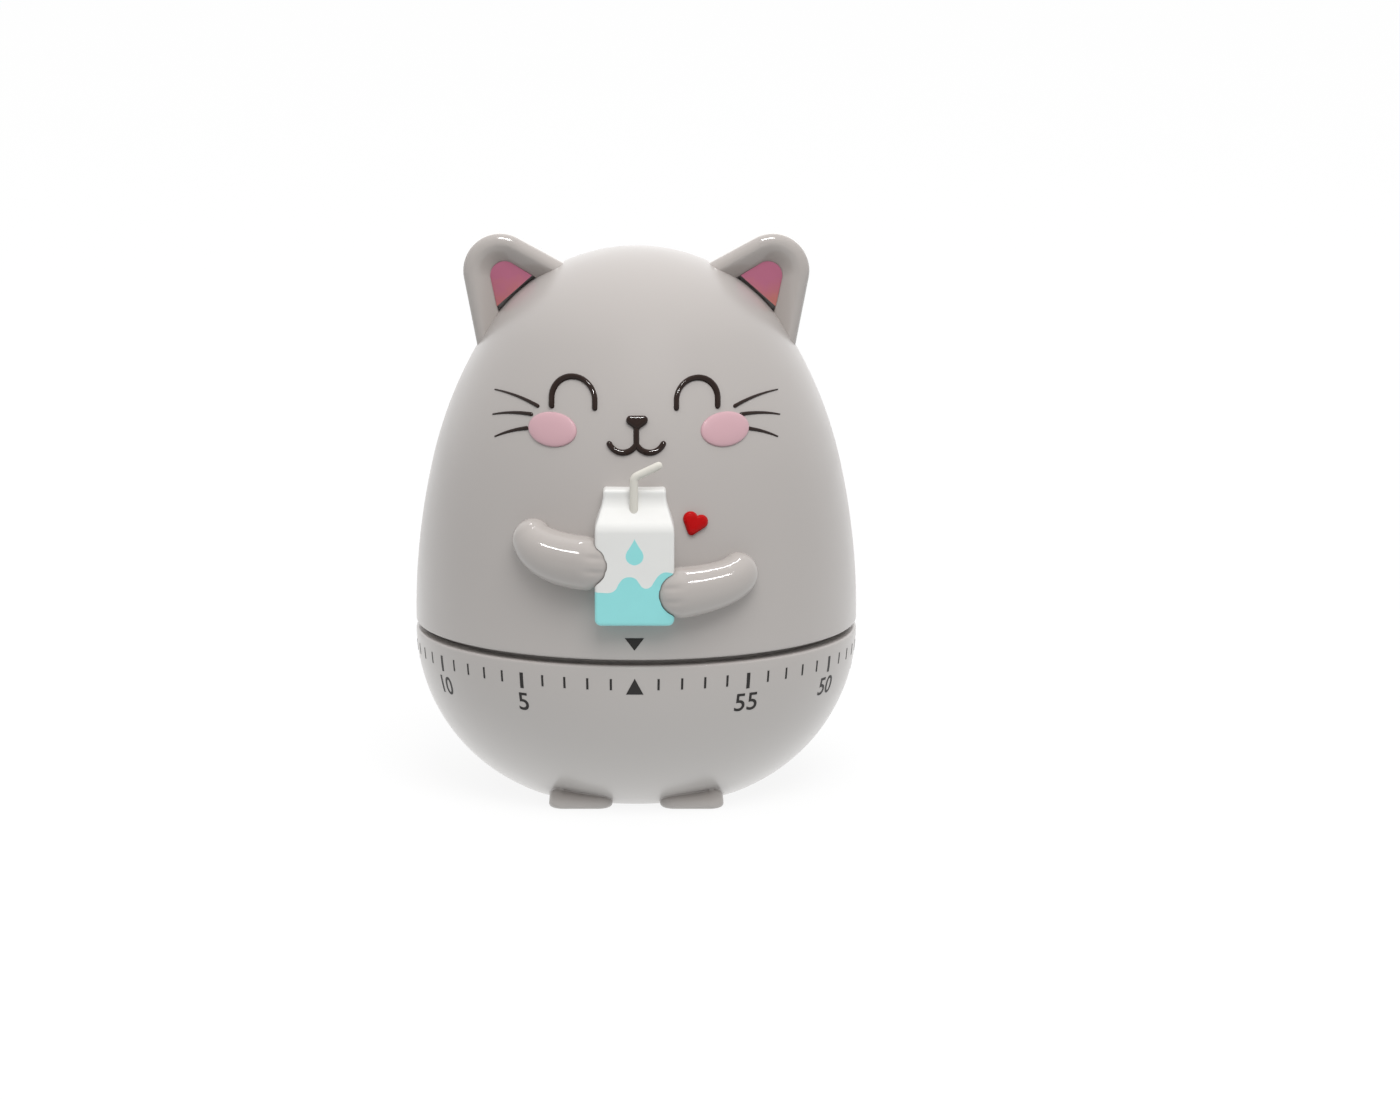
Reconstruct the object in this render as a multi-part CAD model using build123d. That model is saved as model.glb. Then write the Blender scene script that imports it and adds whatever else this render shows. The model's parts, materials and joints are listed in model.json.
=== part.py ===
from build123d import *
import os
from math import acos, asin, atan2, cos, degrees, hypot, pi, radians, sin, sqrt, tan

# A clockwork kitchen timer in the shape of an egg-shaped sitting cat.
# Millimetres. The origin is the middle of the flat underside, on the turning axis.
# +Z is up and the cat looks towards -Y. Left and right are as seen from the front.

# Driving dimensions of the two shells
BELLY_R = 32.5  # widest radius, shared by base and head
WALL = 2.0  # wall of both shells and floor of the base
SEAM_Z = 23.45  # top edge of the base
SEAM_GAP = 0.8  # open groove between base and head
BAND = 1.25  # straight band at the foot of the head
FLAT_R = 17.5  # radius of the flat underside
FLANK_R = 100.0  # side of the head
FLANK_ANGLE = 13.4
SHOULDER_R = 61.0  # curve between the side and the crown
SHOULDER_ANGLE = 19.2
RIM_ROUND = 0.4  # rounding of the two edges at the seam
LIP_RISE = 2.2  # inner lip of the base, which hides the inside at the groove
LIP_T = 1.2
LIP_ROOT = 3.0
RUN_GAP = 0.4  # clearance between shells that turn past each other
SLOT_L = 5.0  # sound slots in the floor
SLOT_W = 1.4
SLOT_AT_R = 7.0
SLOT_STEP = 45

# Front paws, moulded with the base
FOOT_X = 8.05
FOOT_Y = 13.8
FOOT_HALF_W = 4.6
FOOT_HALF_L = 6.0
FOOT_CORNER = 1.6
FOOT_RISE = 5.0
FOOT_ROUND = 0.5

# Ears, set on the crown
EAR_LEAN = 41.5  # angle of each ear from the vertical
EAR_STAND = 4.1  # how far the tip circle's centre stands off the crown
EAR_TIP_R = 5.4
EAR_ROOT_R = 3.2
EAR_ROOT_SINK = 4.2
EAR_ROOT_OUT = 23.0
EAR_ROOT_IN = 15.1
EAR_T = 7.0
EAR_SET = 0.8  # how far the ear's middle lies behind the axis
EAR_ROUND = 2.9
EAR_RIM = 3.6
EAR_HOLLOW = 2.4
LINING_T = 0.7

# Face, as front-view places: angle round from the front, and height over the widest level
EYE_ANGLE = 20.9
EYE_RISE = 34.9
EYE_R = 3.1
EYE_LEG = 1.1
EYE_STROKE = 0.75
EYE_HEIGHT = 0.55
CHEEK_ANGLE = 26.8
EYE_TO_CHEEK = 4.2  # drop from the eyes to the cheeks
CHEEK_RISE = EYE_RISE - EYE_TO_CHEEK
CHEEK_HALF_W = 3.44
CHEEK_HALF_H = 2.36
CHEEK_HEIGHT = 0.6
EYE_TO_NOSE = 2.4
NOSE_RISE = EYE_RISE - EYE_TO_NOSE
NOSE_W = 3.1
NOSE_DROP = 1.5
NOSE_ROUND = 0.4
NOSE_TO_MOUTH = 3.4
MOUTH_RISE = NOSE_RISE - NOSE_TO_MOUTH
MOUTH_LOBE_W = 1.9
MOUTH_SAG = 1.15
MOUTH_STROKE = 0.75
MOUTH_HEIGHT = 0.55
WHISKER_ROOT_W = 0.5
WHISKER_TIP_W = 0.2
WHISKER_HEIGHT = 0.4
# Each whisker: angle and height over the nose of its root, then of its tip, and how far it bows upwards
WHISKERS = ((32.4, 1.2, 52.3, 2.6, 0.33), (34.0, 0.0, 49.4, -0.7, 0.27), (34.3, -1.9, 45.9, -3.6, 0.2))
HEART_ANGLE = 15.8
HEART_RISE = 18.15
HEART_LOBE_R = 0.95
HEART_LOBE_X = 0.8
HEART_TIP = 2.2
HEART_TILT = 20.0
HEART_HEIGHT = 0.8

# Arms: round bars along the belly, each from shoulder through elbow to paw
ARM_R = 3.2
# Front-view x, height over the widest level, and lift of the bar's middle off the belly
ARM_LEFT = ((-15.2, 15.7, 0.7), (-10.9, 12.8, 1.5), (-6.3, 12.0, 2.4))
ARM_RIGHT = ((14.5, 10.8, 0.7), (10.5, 9.1, 1.5), (6.6, 8.9, 2.4))
PEG_R = 1.2  # locating pegs of the ears, arms and carton
PEG_GAP = 0.05
PEG_END = 1.2  # how far a peg reaches past the wall

# Drinks carton and straw
CARTON_X = -0.25
CARTON_W = 11.2
CARTON_RISE = 4.4  # height of its bottom over the widest level
CARTON_BODY_H = 13.6
CARTON_ROOF_H = 3.5
CARTON_CRIMP_H = 2.2
CARTON_CRIMP_W = 8.9
CARTON_DEPTH = 3.3  # how far its front stands off the belly
CARTON_CRIMP_DEPTH = 2.3
CARTON_ROUND = 0.9
STRAW_R = 0.6
STRAW_X = -0.1  # from the carton's middle
STRAW_FOOT = 1.7  # height of its lower end over the carton's shoulder
STRAW_BEND = 7.2  # height of its bend over the carton's shoulder
STRAW_TIP_X = 3.7
STRAW_TIP_RISE = 1.7
STRAW_BEND_R = 1.2
STRAW_GAP = 0.15

# Movement: two round plates with the train between them, over a bell
BELL_CLEAR = 1.2
BELL_R = 15.5
BELL_H = 7.0
BELL_T = 0.8
BELL_POST_H = 1.8
BELL_POST_R = 3.0
PLATE_R = 23.0
PLATE_T = 1.0
PLATE_GAP = 16.0
SUPPORT_R = 20.5  # radius of the circle of pillars and screws
PILLAR_R = 1.75
PILLAR_STUB_R = 1.0
PILLAR_ANGLES = (338.0, 75.0, 170.0)
NUT_R = 2.2
NUT_H = 1.3
SCREW_ANGLES = (8.0, 140.0, 248.0)
BOSS_R = 2.4
SCREW_R = 0.9
SCREW_HEAD_R = 1.9
SCREW_HEAD_H = 1.2
SCREW_LENGTH = 5.0
HOLE_GAP = 0.1  # clearance of a fixed pin or screw in its hole
PIVOT_GAP = 0.05  # running clearance of a pivot in its hole
END_SHAKE = 0.2  # play of an arbor between the plates

# Main arbor and what it carries
SHAFT_R = 2.0
SHAFT_PIVOT_R = 1.2
SHAFT_FLAT = 0.6  # depth of the D flat
BUSH_R = 3.4
BUSH_RISE = 0.8
CAM_R = 7.6
CAM_NOTCH = 1.4
SPRING_H = 5.4
SPRING_T = 0.35
SPRING_PITCH = 1.25
SPRING_TURNS = 5
SPRING_INNER_R = 2.3
SPRING_POST_R = 1.0
COLLAR_R = 4.0
COLLAR_T = 0.7
RATCHET_TEETH = 12
RATCHET_R = 4.6
RATCHET_DEPTH = 0.7
RATCHET_T = 1.0
CLICK_PIVOT_R = 8.0  # distance of the click's pivot from the arbor
CLICK_ROUND_R = 1.3
CLICK_NOSE_R = 0.35
CLICK_PIN_R = 0.6
CLICK_NOSE_ANGLE = 7.0
CLICK_ARM_ANGLE = 40.0
LAYER_GAP = 0.2  # free height between neighbouring layers of the movement

# Gear train
PRESSURE_ANGLE = 30.0
ADDENDUM = 0.8
DEDENDUM = 1.05
TOOTH_PLAY = 0.04
MAIN_MODULE = 0.5
TRAIN_MODULE = 0.4
MAIN_TEETH = 48
WHEEL_TEETH = 40
LEAVES = 8
ESCAPE_TEETH = 24
ESCAPE_R = 5.5
ESCAPE_DEPTH = 0.9
MAIN_WHEEL_T = 1.2
WHEEL_T = 0.8
WINDOW_STEP = 72  # openings in the wheels
WINDOW_SHARE = 2.6
PINION_MARGIN = 0.4
ARBOR_R = 0.8
PIVOT_R = 0.5
SECOND_AT = 200.0  # direction of the second arbor from the main one
SECOND_LAYER = 2.2  # height of the second and escape wheels over the main wheel
THIRD_LAYER = 2.0  # height of the third wheel over the second

# Balance
BALANCE_AT_R = 16.0
PALLET_REACH = 9.0
BALANCE_R = 6.0
BALANCE_RIM = 1.4
BALANCE_T = 1.2
BALANCE_BAR = 1.6
PALLET_T = 0.8
PALLET_HUB_R = 1.6
PALLET_PIN_R = 0.35
PALLET_PIN_AT = 3.2
PALLET_SPREAD = 40.0

# Hammer
HAMMER_AT_R = 19.5
HAMMER_AT = 90.0
HAMMER_STEM_AT = 112.0
HAMMER_SWING = 12.0
HAMMER_T = 1.0  # also the cam's thickness, since the hammer's nose rides on its edge
HAMMER_HUB_R = 2.0
HAMMER_NOSE_R = 0.6
HAMMER_STEM_R = 0.9
HAMMER_HEAD_R = 1.6
HAMMER_HEAD_H = 2.6
HAMMER_HEAD_RISE = 1.4  # height of the head over the bell's rim
HAMMER_GAP = 0.3  # from the head to the bell, and from the nose to the cam
STUD_R = 1.0
STUD_COLLAR_R = 1.8
STUD_COLLAR_H = 0.4
STUD_RISE = 4.6
COIL_WIRE_R = 0.25
COIL_TURNS = 3

# Drive plate that joins the head to the shaft
DRIVE_RISE = 3.0  # height of the hub over the upper plate
HUB_R = 5.0
HUB_H = 10.0
DRIVE_R = 21.5
DRIVE_T = 2.0
POST_AT_R = 18.0
POST_R = 2.3
POST_ANGLES = (90.0, 210.0, 330.0)

# Heights and places that follow from the driving dimensions
RIM_Z = SEAM_Z + SEAM_GAP
WIDE_Z = RIM_Z + BAND
BOWL_SPAN = BELLY_R - FLAT_R
BOWL_R = (BOWL_SPAN**2 + SEAM_Z**2) / (2 * BOWL_SPAN)
BEND_1 = radians(FLANK_ANGLE)
BEND_2 = radians(FLANK_ANGLE + SHOULDER_ANGLE)
CROWN_R = (
    BELLY_R - FLANK_R * (1 - cos(BEND_1)) - SHOULDER_R * (cos(BEND_1) - cos(BEND_2))
) / cos(BEND_2)
SHOULDER_Z = WIDE_Z + (FLANK_R - SHOULDER_R) * sin(BEND_1)
SHOULDER_X = BELLY_R - FLANK_R + (FLANK_R - SHOULDER_R) * cos(BEND_1)
CROWN_Z = SHOULDER_Z + (SHOULDER_R - CROWN_R) * sin(BEND_2)

BELL_RIM_Z = WALL + BELL_CLEAR
BELL_TOP_Z = BELL_RIM_Z + BELL_H
BELL_SPHERE_R = (BELL_R**2 + BELL_H**2) / (2 * BELL_H)
PLATE_Z = BELL_TOP_Z + BELL_POST_H
PLATE_TOP_Z = PLATE_Z + PLATE_T
UPPER_Z = PLATE_TOP_Z + PLATE_GAP
UPPER_TOP_Z = UPPER_Z + PLATE_T
HAMMER_Z = PLATE_TOP_Z + STUD_COLLAR_H + PIVOT_GAP
SPRING_Z = HAMMER_Z + HAMMER_T + LAYER_GAP
COLLAR_Z = SPRING_Z + SPRING_H + LAYER_GAP
MAIN_Z = COLLAR_Z + COLLAR_T + LAYER_GAP / 2
RATCHET_Z = MAIN_Z + MAIN_WHEEL_T + LAYER_GAP
SECOND_Z = MAIN_Z + MAIN_WHEEL_T + SECOND_LAYER
THIRD_Z = SECOND_Z + THIRD_LAYER
PALLET_Z = SECOND_Z - LAYER_GAP - PALLET_T
HUB_Z = UPPER_TOP_Z + DRIVE_RISE
DRIVE_Z = HUB_Z + HUB_H
POST_Z = DRIVE_Z + DRIVE_T


def polar(radius, angle):
    """Point at a radius and an angle in degrees."""
    return (radius * cos(radians(angle)), radius * sin(radians(angle)))


MAIN_CENTRES = MAIN_MODULE * (MAIN_TEETH + LEAVES) / 2
TRAIN_CENTRES = TRAIN_MODULE * (WHEEL_TEETH + LEAVES) / 2
TRAIN_STEP = degrees(2 * asin(TRAIN_CENTRES / (2 * MAIN_CENTRES)))
THIRD_AT = SECOND_AT + TRAIN_STEP
ESCAPE_AT = THIRD_AT + TRAIN_STEP
BALANCE_TURN = acos(
    (MAIN_CENTRES**2 + BALANCE_AT_R**2 - PALLET_REACH**2) / (2 * MAIN_CENTRES * BALANCE_AT_R)
)
BALANCE_AT = ESCAPE_AT + degrees(BALANCE_TURN)
SECOND = polar(MAIN_CENTRES, SECOND_AT)
THIRD = polar(MAIN_CENTRES, THIRD_AT)
ESCAPE = polar(MAIN_CENTRES, ESCAPE_AT)
BALANCE = polar(BALANCE_AT_R, BALANCE_AT)
HAMMER = polar(HAMMER_AT_R, HAMMER_AT)
HAMMER_HEAD_Z = BELL_RIM_Z + HAMMER_HEAD_RISE
BELL_CENTRE_Z = BELL_TOP_Z - BELL_SPHERE_R
BELL_AT_HEAD = sqrt(BELL_SPHERE_R**2 - (HAMMER_HEAD_Z - BELL_CENTRE_Z) ** 2)
STEM = polar(BELL_AT_HEAD + HAMMER_GAP + HAMMER_HEAD_R, HAMMER_STEM_AT)
SPRING_END_X = SPRING_INNER_R + SPRING_TURNS * SPRING_PITCH
SPRING_EYE_R = SPRING_POST_R + PIVOT_GAP + SPRING_T
SPRING_POST_X = SPRING_END_X + SPRING_EYE_R


def rod(radius, bottom, top, at=(0, 0)):
    """Upright round bar between two heights."""
    return Pos(at[0], at[1], bottom) * extrude(Circle(radius), top - bottom)


def plate(sketch, bottom, thickness, at=(0, 0)):
    """Flat piece with the given plan, standing at a height."""
    return Pos(at[0], at[1], bottom) * extrude(sketch, thickness)


def ring_of(angles, radius):
    """Plan places on a circle round the axis."""
    return [polar(radius, angle) for angle in angles]


def hull(*circles):
    """Plan outline drawn tight round circles given as (x, y, radius)."""
    return make_hull([edge for x, y, r in circles for edge in (Pos(x, y) * Circle(r)).edges()])


def turn_about(point, pivot, angle):
    """Plan point turned about a pivot by an angle in degrees."""
    dx, dy = point[0] - pivot[0], point[1] - pivot[1]
    c, s = cos(radians(angle)), sin(radians(angle))
    return (pivot[0] + c * dx - s * dy, pivot[1] + s * dx + c * dy)


def head_radius(z, grow=0.0):
    """Radius of the head's outside at a height, moved outwards by grow."""
    flank = FLANK_R + grow
    shoulder = SHOULDER_R + grow
    if z <= WIDE_Z:
        return BELLY_R + grow
    if z <= WIDE_Z + flank * sin(BEND_1):
        return BELLY_R - FLANK_R + sqrt(flank**2 - (z - WIDE_Z) ** 2)
    if z <= SHOULDER_Z + shoulder * sin(BEND_2):
        return SHOULDER_X + sqrt(shoulder**2 - (z - SHOULDER_Z) ** 2)
    return sqrt((CROWN_R + grow) ** 2 - (z - CROWN_Z) ** 2)


def head_solid(grow):
    """The head as a full solid, with its outside moved outwards by grow."""
    band = Line((BELLY_R + grow, RIM_Z), (BELLY_R + grow, WIDE_Z))
    flank = JernArc(band @ 1, (0, 1), FLANK_R + grow, FLANK_ANGLE)
    shoulder = JernArc(flank @ 1, flank % 1, SHOULDER_R + grow, SHOULDER_ANGLE)
    crown = RadiusArc(shoulder @ 1, (0, CROWN_Z + CROWN_R + grow), -(CROWN_R + grow))
    back = Polyline(crown @ 1, (0, RIM_Z), band @ 0)
    return revolve(Plane.XZ * make_face([band, flank, shoulder, crown, *back.edges()]), Axis.Z)


def bowl_solid(grow, floor):
    """The base as a full solid, with its outside moved outwards by grow and cut flat at a height."""
    angle = degrees(asin((SEAM_Z - floor) / (BOWL_R + grow)))
    side = JernArc((BELLY_R + grow, SEAM_Z), (0, -1), BOWL_R + grow, -angle)
    back = Polyline(side @ 1, (0, floor), (0, SEAM_Z), side @ 0)
    return revolve(Plane.XZ * make_face([side, *back.edges()]), Axis.Z)


HEAD = head_solid(0)


def face_point(angle, rise):
    """Front-view place on the head: angle round from the front, height over the widest level."""
    z = WIDE_Z + rise
    return (head_radius(z) * sin(radians(angle)), z)


def belly_point(x, rise, lift):
    """Point over the front of the belly, lifted off its surface."""
    z = WIDE_Z + rise
    return (x, -sqrt(head_radius(z, lift) ** 2 - x**2), z)


def relief(sketch, height):
    """Raised piece: a front-view outline lying on the head's surface."""
    bar = extrude(Plane.XZ * sketch, 2 * BELLY_R)
    return bar & (head_solid(height) - HEAD)


def both_sides(sketch):
    """A front-view outline and its mirror image."""
    return sketch + mirror(sketch, Plane.YZ)


def peg_line(start):
    """Direction from a point on the outside to the axis, level."""
    return Vector(-start[0], -start[1], 0).normalized()


def peg(start, direction, radius):
    """Round peg from a start point along a direction, through the wall of the head."""
    along = Plane(start, z_dir=direction)
    return along * extrude(Circle(radius), peg_reach(start, direction))


def peg_reach(start, direction):
    """Length from a start point to just past the inside of the wall."""
    flat = hypot(direction.X, direction.Y)
    stand_off = hypot(start[0], start[1]) - head_radius(start[2])
    return (stand_off + WALL) / flat + PEG_END


def base_shell():
    """Lower bowl with paws, an inner lip, screw bosses and sound slots."""
    sole = RectangleRounded(2 * FOOT_HALF_W, 2 * FOOT_HALF_L, FOOT_CORNER)
    paw = plate(sole, 0, FOOT_RISE, (FOOT_X, -FOOT_Y))
    paw = fillet(paw.edges().group_by(Axis.Z)[0], FOOT_ROUND)
    outside = bowl_solid(0, 0) + paw + mirror(paw, Plane.YZ)
    shell = outside - bowl_solid(-WALL, WALL)
    lip_outer = BELLY_R - WALL - RUN_GAP
    lip = rod(lip_outer, SEAM_Z - LIP_ROOT, SEAM_Z + LIP_RISE)
    lip += rod(BELLY_R - WALL / 2, SEAM_Z - LIP_ROOT, SEAM_Z - RUN_GAP) & bowl_solid(-WALL / 2, WALL / 2)
    shell += lip - rod(lip_outer - LIP_T, SEAM_Z - 2 * LIP_ROOT, SEAM_Z + 2 * LIP_RISE)
    for at in ring_of(SCREW_ANGLES, SUPPORT_R):
        shell += rod(BOSS_R, WALL / 2, PLATE_Z, at) & bowl_solid(-WALL / 2, WALL / 2)
        shell -= rod(SCREW_R + HOLE_GAP, PLATE_TOP_Z - SCREW_LENGTH - HOLE_GAP, PLATE_Z, at)
    slot = SlotCenterToCenter(SLOT_L, SLOT_W)
    for angle in range(0, 360, SLOT_STEP):
        shell -= Rot(0, 0, angle) * plate(slot, -WALL, 3 * WALL, (SLOT_AT_R, 0))
    rim = shell.edges().filter_by(GeomType.CIRCLE).group_by(Axis.Z)
    outer_rim = [e for group in rim for e in group if abs(e.radius - BELLY_R) < RIM_ROUND / 2]
    return fillet(outer_rim, RIM_ROUND)


def head_shell(pegs):
    """Upper egg, open below, with posts for the drive plate and holes for the pegs."""
    shell = HEAD - head_solid(-WALL)
    for at in ring_of(POST_ANGLES, POST_AT_R):
        shell += rod(POST_R, POST_Z, CROWN_Z + CROWN_R, at) & head_solid(-WALL / 2)
        shell -= rod(SCREW_R + HOLE_GAP, POST_Z, POST_Z + SCREW_LENGTH, at)
    for hole in pegs:
        shell -= hole
    outer_rim = [e for e in shell.edges().filter_by(GeomType.CIRCLE) if on_rim(e)]
    return fillet(outer_rim, RIM_ROUND)


def on_rim(edge):
    """Whether an edge is the head's outer lower edge."""
    return abs(edge.radius - BELLY_R) < RIM_ROUND / 2 and abs(edge.center().Z - RIM_Z) < RIM_ROUND / 2


def crown_point(angle, radius):
    """Front-view place at an angle from the vertical, about the crown's centre."""
    return (radius * sin(radians(angle)), CROWN_Z + radius * cos(radians(angle)))


def ear_outline(shrink):
    """Front view of the right ear: a tip circle and two root circles, drawn round and shrunk."""
    tip = crown_point(EAR_LEAN, CROWN_R + EAR_STAND)
    outer = crown_point(EAR_LEAN + EAR_ROOT_OUT, CROWN_R - EAR_ROOT_SINK)
    inner = crown_point(EAR_LEAN - EAR_ROOT_IN, CROWN_R - EAR_ROOT_SINK)
    outline = hull((*tip, EAR_TIP_R), (*outer, EAR_ROOT_R), (*inner, EAR_ROOT_R))
    return offset(outline, -shrink) if shrink else outline


def upright(sketch, front, depth):
    """Front-view outline given depth, from a front plane backwards."""
    return extrude(Plane((0, front, 0), x_dir=(1, 0, 0), z_dir=(0, -1, 0)) * sketch, -depth)


def ear_peg(radius):
    """Locating peg under the right ear, square to the crown."""
    lean = radians(EAR_LEAN)
    start = crown_point(EAR_LEAN, CROWN_R + EAR_STAND / 2)
    behind_hollow = EAR_SET + EAR_HOLLOW / 2
    along = Plane((start[0], behind_hollow, start[1]), z_dir=(-sin(lean), 0, -cos(lean)))
    return along * extrude(Circle(radius), EAR_STAND / 2 + WALL + PEG_END)


def ear():
    """Right ear and its lining."""
    front = EAR_SET - EAR_T / 2
    body = upright(ear_outline(0), front, EAR_T)
    ends = body.edges().filter_by(lambda e: abs(e.bounding_box().size.Y) < PIVOT_GAP)
    body = fillet(ends, EAR_ROUND)
    body -= upright(ear_outline(EAR_RIM), front, EAR_HOLLOW)
    body -= HEAD
    lining = upright(ear_outline(EAR_RIM), front + EAR_HOLLOW - LINING_T, LINING_T) - HEAD
    return body + ear_peg(PEG_R), lining


def eyes():
    """Two raised arches."""
    x, z = face_point(EYE_ANGLE, EYE_RISE)
    legs = [Line((x + side * EYE_R, z), (x + side * EYE_R, z - EYE_LEG)) for side in (-1, 1)]
    arch = Wire([legs[0], CenterArc((x, z), EYE_R, 0, 180), legs[1]])
    return relief(both_sides(SlotArc(arch, EYE_STROKE)), EYE_HEIGHT)


def nose_and_mouth():
    """Rounded nose, its stem and a mouth of two arcs."""
    nose_z = WIDE_Z + NOSE_RISE
    mouth_z = WIDE_Z + MOUTH_RISE
    half = NOSE_W / 2 - NOSE_ROUND
    corners = ((-half, nose_z), (half, nose_z), (0, nose_z - NOSE_DROP))
    sketch = hull(*((x, z, NOSE_ROUND) for x, z in corners))
    stem = nose_z - mouth_z
    sketch += Pos(0, nose_z - stem / 2) * Rectangle(MOUTH_STROKE, stem)
    low = (MOUTH_LOBE_W, mouth_z - MOUTH_SAG)
    lobe = ThreePointArc((0, mouth_z), low, (2 * MOUTH_LOBE_W, mouth_z))
    sketch += both_sides(SlotArc(lobe, MOUTH_STROKE))
    return relief(sketch, MOUTH_HEIGHT)


def whisker(root_angle, root_rise, tip_angle, tip_rise, bow):
    """Front view of one right whisker, bowed and thinner towards its tip."""
    root = Vector(*face_point(root_angle, NOSE_RISE + root_rise))
    tip = Vector(*face_point(tip_angle, NOSE_RISE + tip_rise))
    across = (tip - root).rotate(Axis.Z, 90).normalized()
    middle = (root + tip) / 2 + across * bow
    mean = (WHISKER_ROOT_W + WHISKER_TIP_W) / 2
    sides = []
    for side in (-0.5, 0.5):
        ends = [root + across * side * WHISKER_ROOT_W, tip + across * side * WHISKER_TIP_W]
        sides.append(ThreePointArc(ends[0], middle + across * side * mean, ends[1]))
    caps = [Line(sides[0] @ end, sides[1] @ end) for end in (0, 1)]
    return make_face([*sides, *caps])


def whiskers():
    """Three whiskers on each cheek."""
    sketch = Sketch() + [whisker(*row) for row in WHISKERS]
    return relief(both_sides(sketch - cheek_outline()), WHISKER_HEIGHT)


def cheek_outline():
    """Front view of the right cheek."""
    return Pos(*face_point(CHEEK_ANGLE, CHEEK_RISE)) * Ellipse(CHEEK_HALF_W, CHEEK_HALF_H)


def cheeks():
    """Two raised ovals."""
    return relief(both_sides(cheek_outline()), CHEEK_HEIGHT)


def heart():
    """Small tilted heart."""
    lobes = [
        hull((side * HEART_LOBE_X, 0, HEART_LOBE_R), (0, -HEART_TIP, HEART_LOBE_R / 10))
        for side in (-1, 1)
    ]
    x, z = face_point(HEART_ANGLE, HEART_RISE)
    return relief(Pos(x, z) * Rot(0, 0, -HEART_TILT) * (lobes[0] + lobes[1]), HEART_HEIGHT)


def arm(points):
    """Round arm along an arc over the belly, with a locating peg at its elbow."""
    shoulder, elbow, paw = (belly_point(*point) for point in points)
    path = ThreePointArc(shoulder, elbow, paw)
    bar = sweep(Plane(shoulder, z_dir=path % 0) * Circle(ARM_R), path)
    bar += Pos(*shoulder) * Sphere(ARM_R)
    bar += Pos(*paw) * Sphere(ARM_R)
    return bar - HEAD


def arm_peg(points, radius):
    """Locating peg behind an arm's elbow."""
    elbow = belly_point(*points[1])
    return peg(elbow, peg_line(elbow), radius)


CARTON_Z = WIDE_Z + CARTON_RISE
CARTON_SHOULDER_Z = CARTON_Z + CARTON_BODY_H
CARTON_CRIMP_Z = CARTON_SHOULDER_Z + CARTON_ROOF_H
CARTON_TOP_Z = CARTON_CRIMP_Z + CARTON_CRIMP_H
CARTON_FRONT = -head_radius(CARTON_Z) - CARTON_DEPTH
CRIMP_FRONT = -head_radius(CARTON_CRIMP_Z) - CARTON_CRIMP_DEPTH


def carton(arms):
    """Gable-topped carton that sits against the belly, hollowed where the paws grip it."""
    half, crimp = CARTON_W / 2, CARTON_CRIMP_W / 2
    front_view = Polyline(
        (-half, CARTON_Z),
        (half, CARTON_Z),
        (half, CARTON_SHOULDER_Z),
        (crimp, CARTON_CRIMP_Z),
        (crimp, CARTON_TOP_Z),
        (-crimp, CARTON_TOP_Z),
        (-crimp, CARTON_CRIMP_Z),
        (-half, CARTON_SHOULDER_Z),
        close=True,
    )
    front_view = make_face(front_view)
    front_view = fillet(front_view.vertices().group_by(Axis.Y)[0], CARTON_ROUND)
    side_view = Polyline(
        (CARTON_FRONT, CARTON_Z),
        (CARTON_FRONT, CARTON_SHOULDER_Z),
        (CRIMP_FRONT, CARTON_CRIMP_Z),
        (CRIMP_FRONT, CARTON_TOP_Z),
        (0, CARTON_TOP_Z),
        (0, CARTON_Z),
        close=True,
    )
    box = Pos(CARTON_X, 0, 0) * extrude(Plane.XZ * front_view, 2 * BELLY_R)
    box &= extrude(Plane.YZ * make_face(side_view), BELLY_R, both=True)
    box -= HEAD
    for bar in arms:
        box -= bar
    return box


def carton_pegs(radius):
    """Two locating pegs behind the carton."""
    pegs = Part()
    for rise in (CARTON_BODY_H / 4, CARTON_BODY_H * 3 / 4):
        z = CARTON_Z + rise
        start = (CARTON_X, -head_radius(z) - CARTON_DEPTH / 2, z)
        pegs += peg(start, Vector(0, 1, 0), radius)
    return pegs


def straw(box):
    """Bent straw that stands on the carton's roof and passes in front of its crimp."""
    x = CARTON_X + STRAW_X
    y = CRIMP_FRONT - STRAW_R - STRAW_GAP
    foot = (x, y, CARTON_SHOULDER_Z + STRAW_FOOT)
    bend = (x, y, CARTON_SHOULDER_Z + STRAW_BEND)
    tip = (x + STRAW_TIP_X, y, bend[2] + STRAW_TIP_RISE)
    path = FilletPolyline(foot, bend, tip, radius=STRAW_BEND_R)
    return sweep(Plane(foot, z_dir=(0, 0, 1)) * Circle(STRAW_R), path) - box


def involute(angle):
    """Involute of an angle in radians."""
    return tan(angle) - angle


def gear(teeth, module, height, tooth_at):
    """Spur gear with straight-sided involute teeth, one of them centred at an angle."""
    pitch_r = module * teeth / 2
    base_r = pitch_r * cos(radians(PRESSURE_ANGLE))
    root_r = pitch_r - DEDENDUM * module
    tip_r = pitch_r + ADDENDUM * module
    half_pitch = pi / (2 * teeth) - TOOTH_PLAY / pitch_r + involute(radians(PRESSURE_ANGLE))
    start_r = max(base_r, root_r)
    flank = []
    for r in (root_r, start_r, pitch_r, tip_r):
        half = half_pitch - involute(acos(min(1, base_r / max(r, start_r))))
        if not flank or r > flank[-1][0]:
            flank.append((r, half))
    points = []
    for tooth in range(teeth):
        middle = radians(tooth_at) + 2 * pi * tooth / teeth
        points += [(r * cos(middle - half), r * sin(middle - half)) for r, half in flank]
        points += [(r * cos(middle + half), r * sin(middle + half)) for r, half in reversed(flank)]
    return extrude(make_face(Polyline(*points, close=True)), height)


def meshed(line_angle, wheel_teeth, wheel_at):
    """Angle of a pinion leaf that meshes with a wheel's teeth, along a line of centres."""
    return line_angle + 180 - wheel_teeth / LEAVES * (wheel_at - line_angle) - 180 / LEAVES


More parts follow.
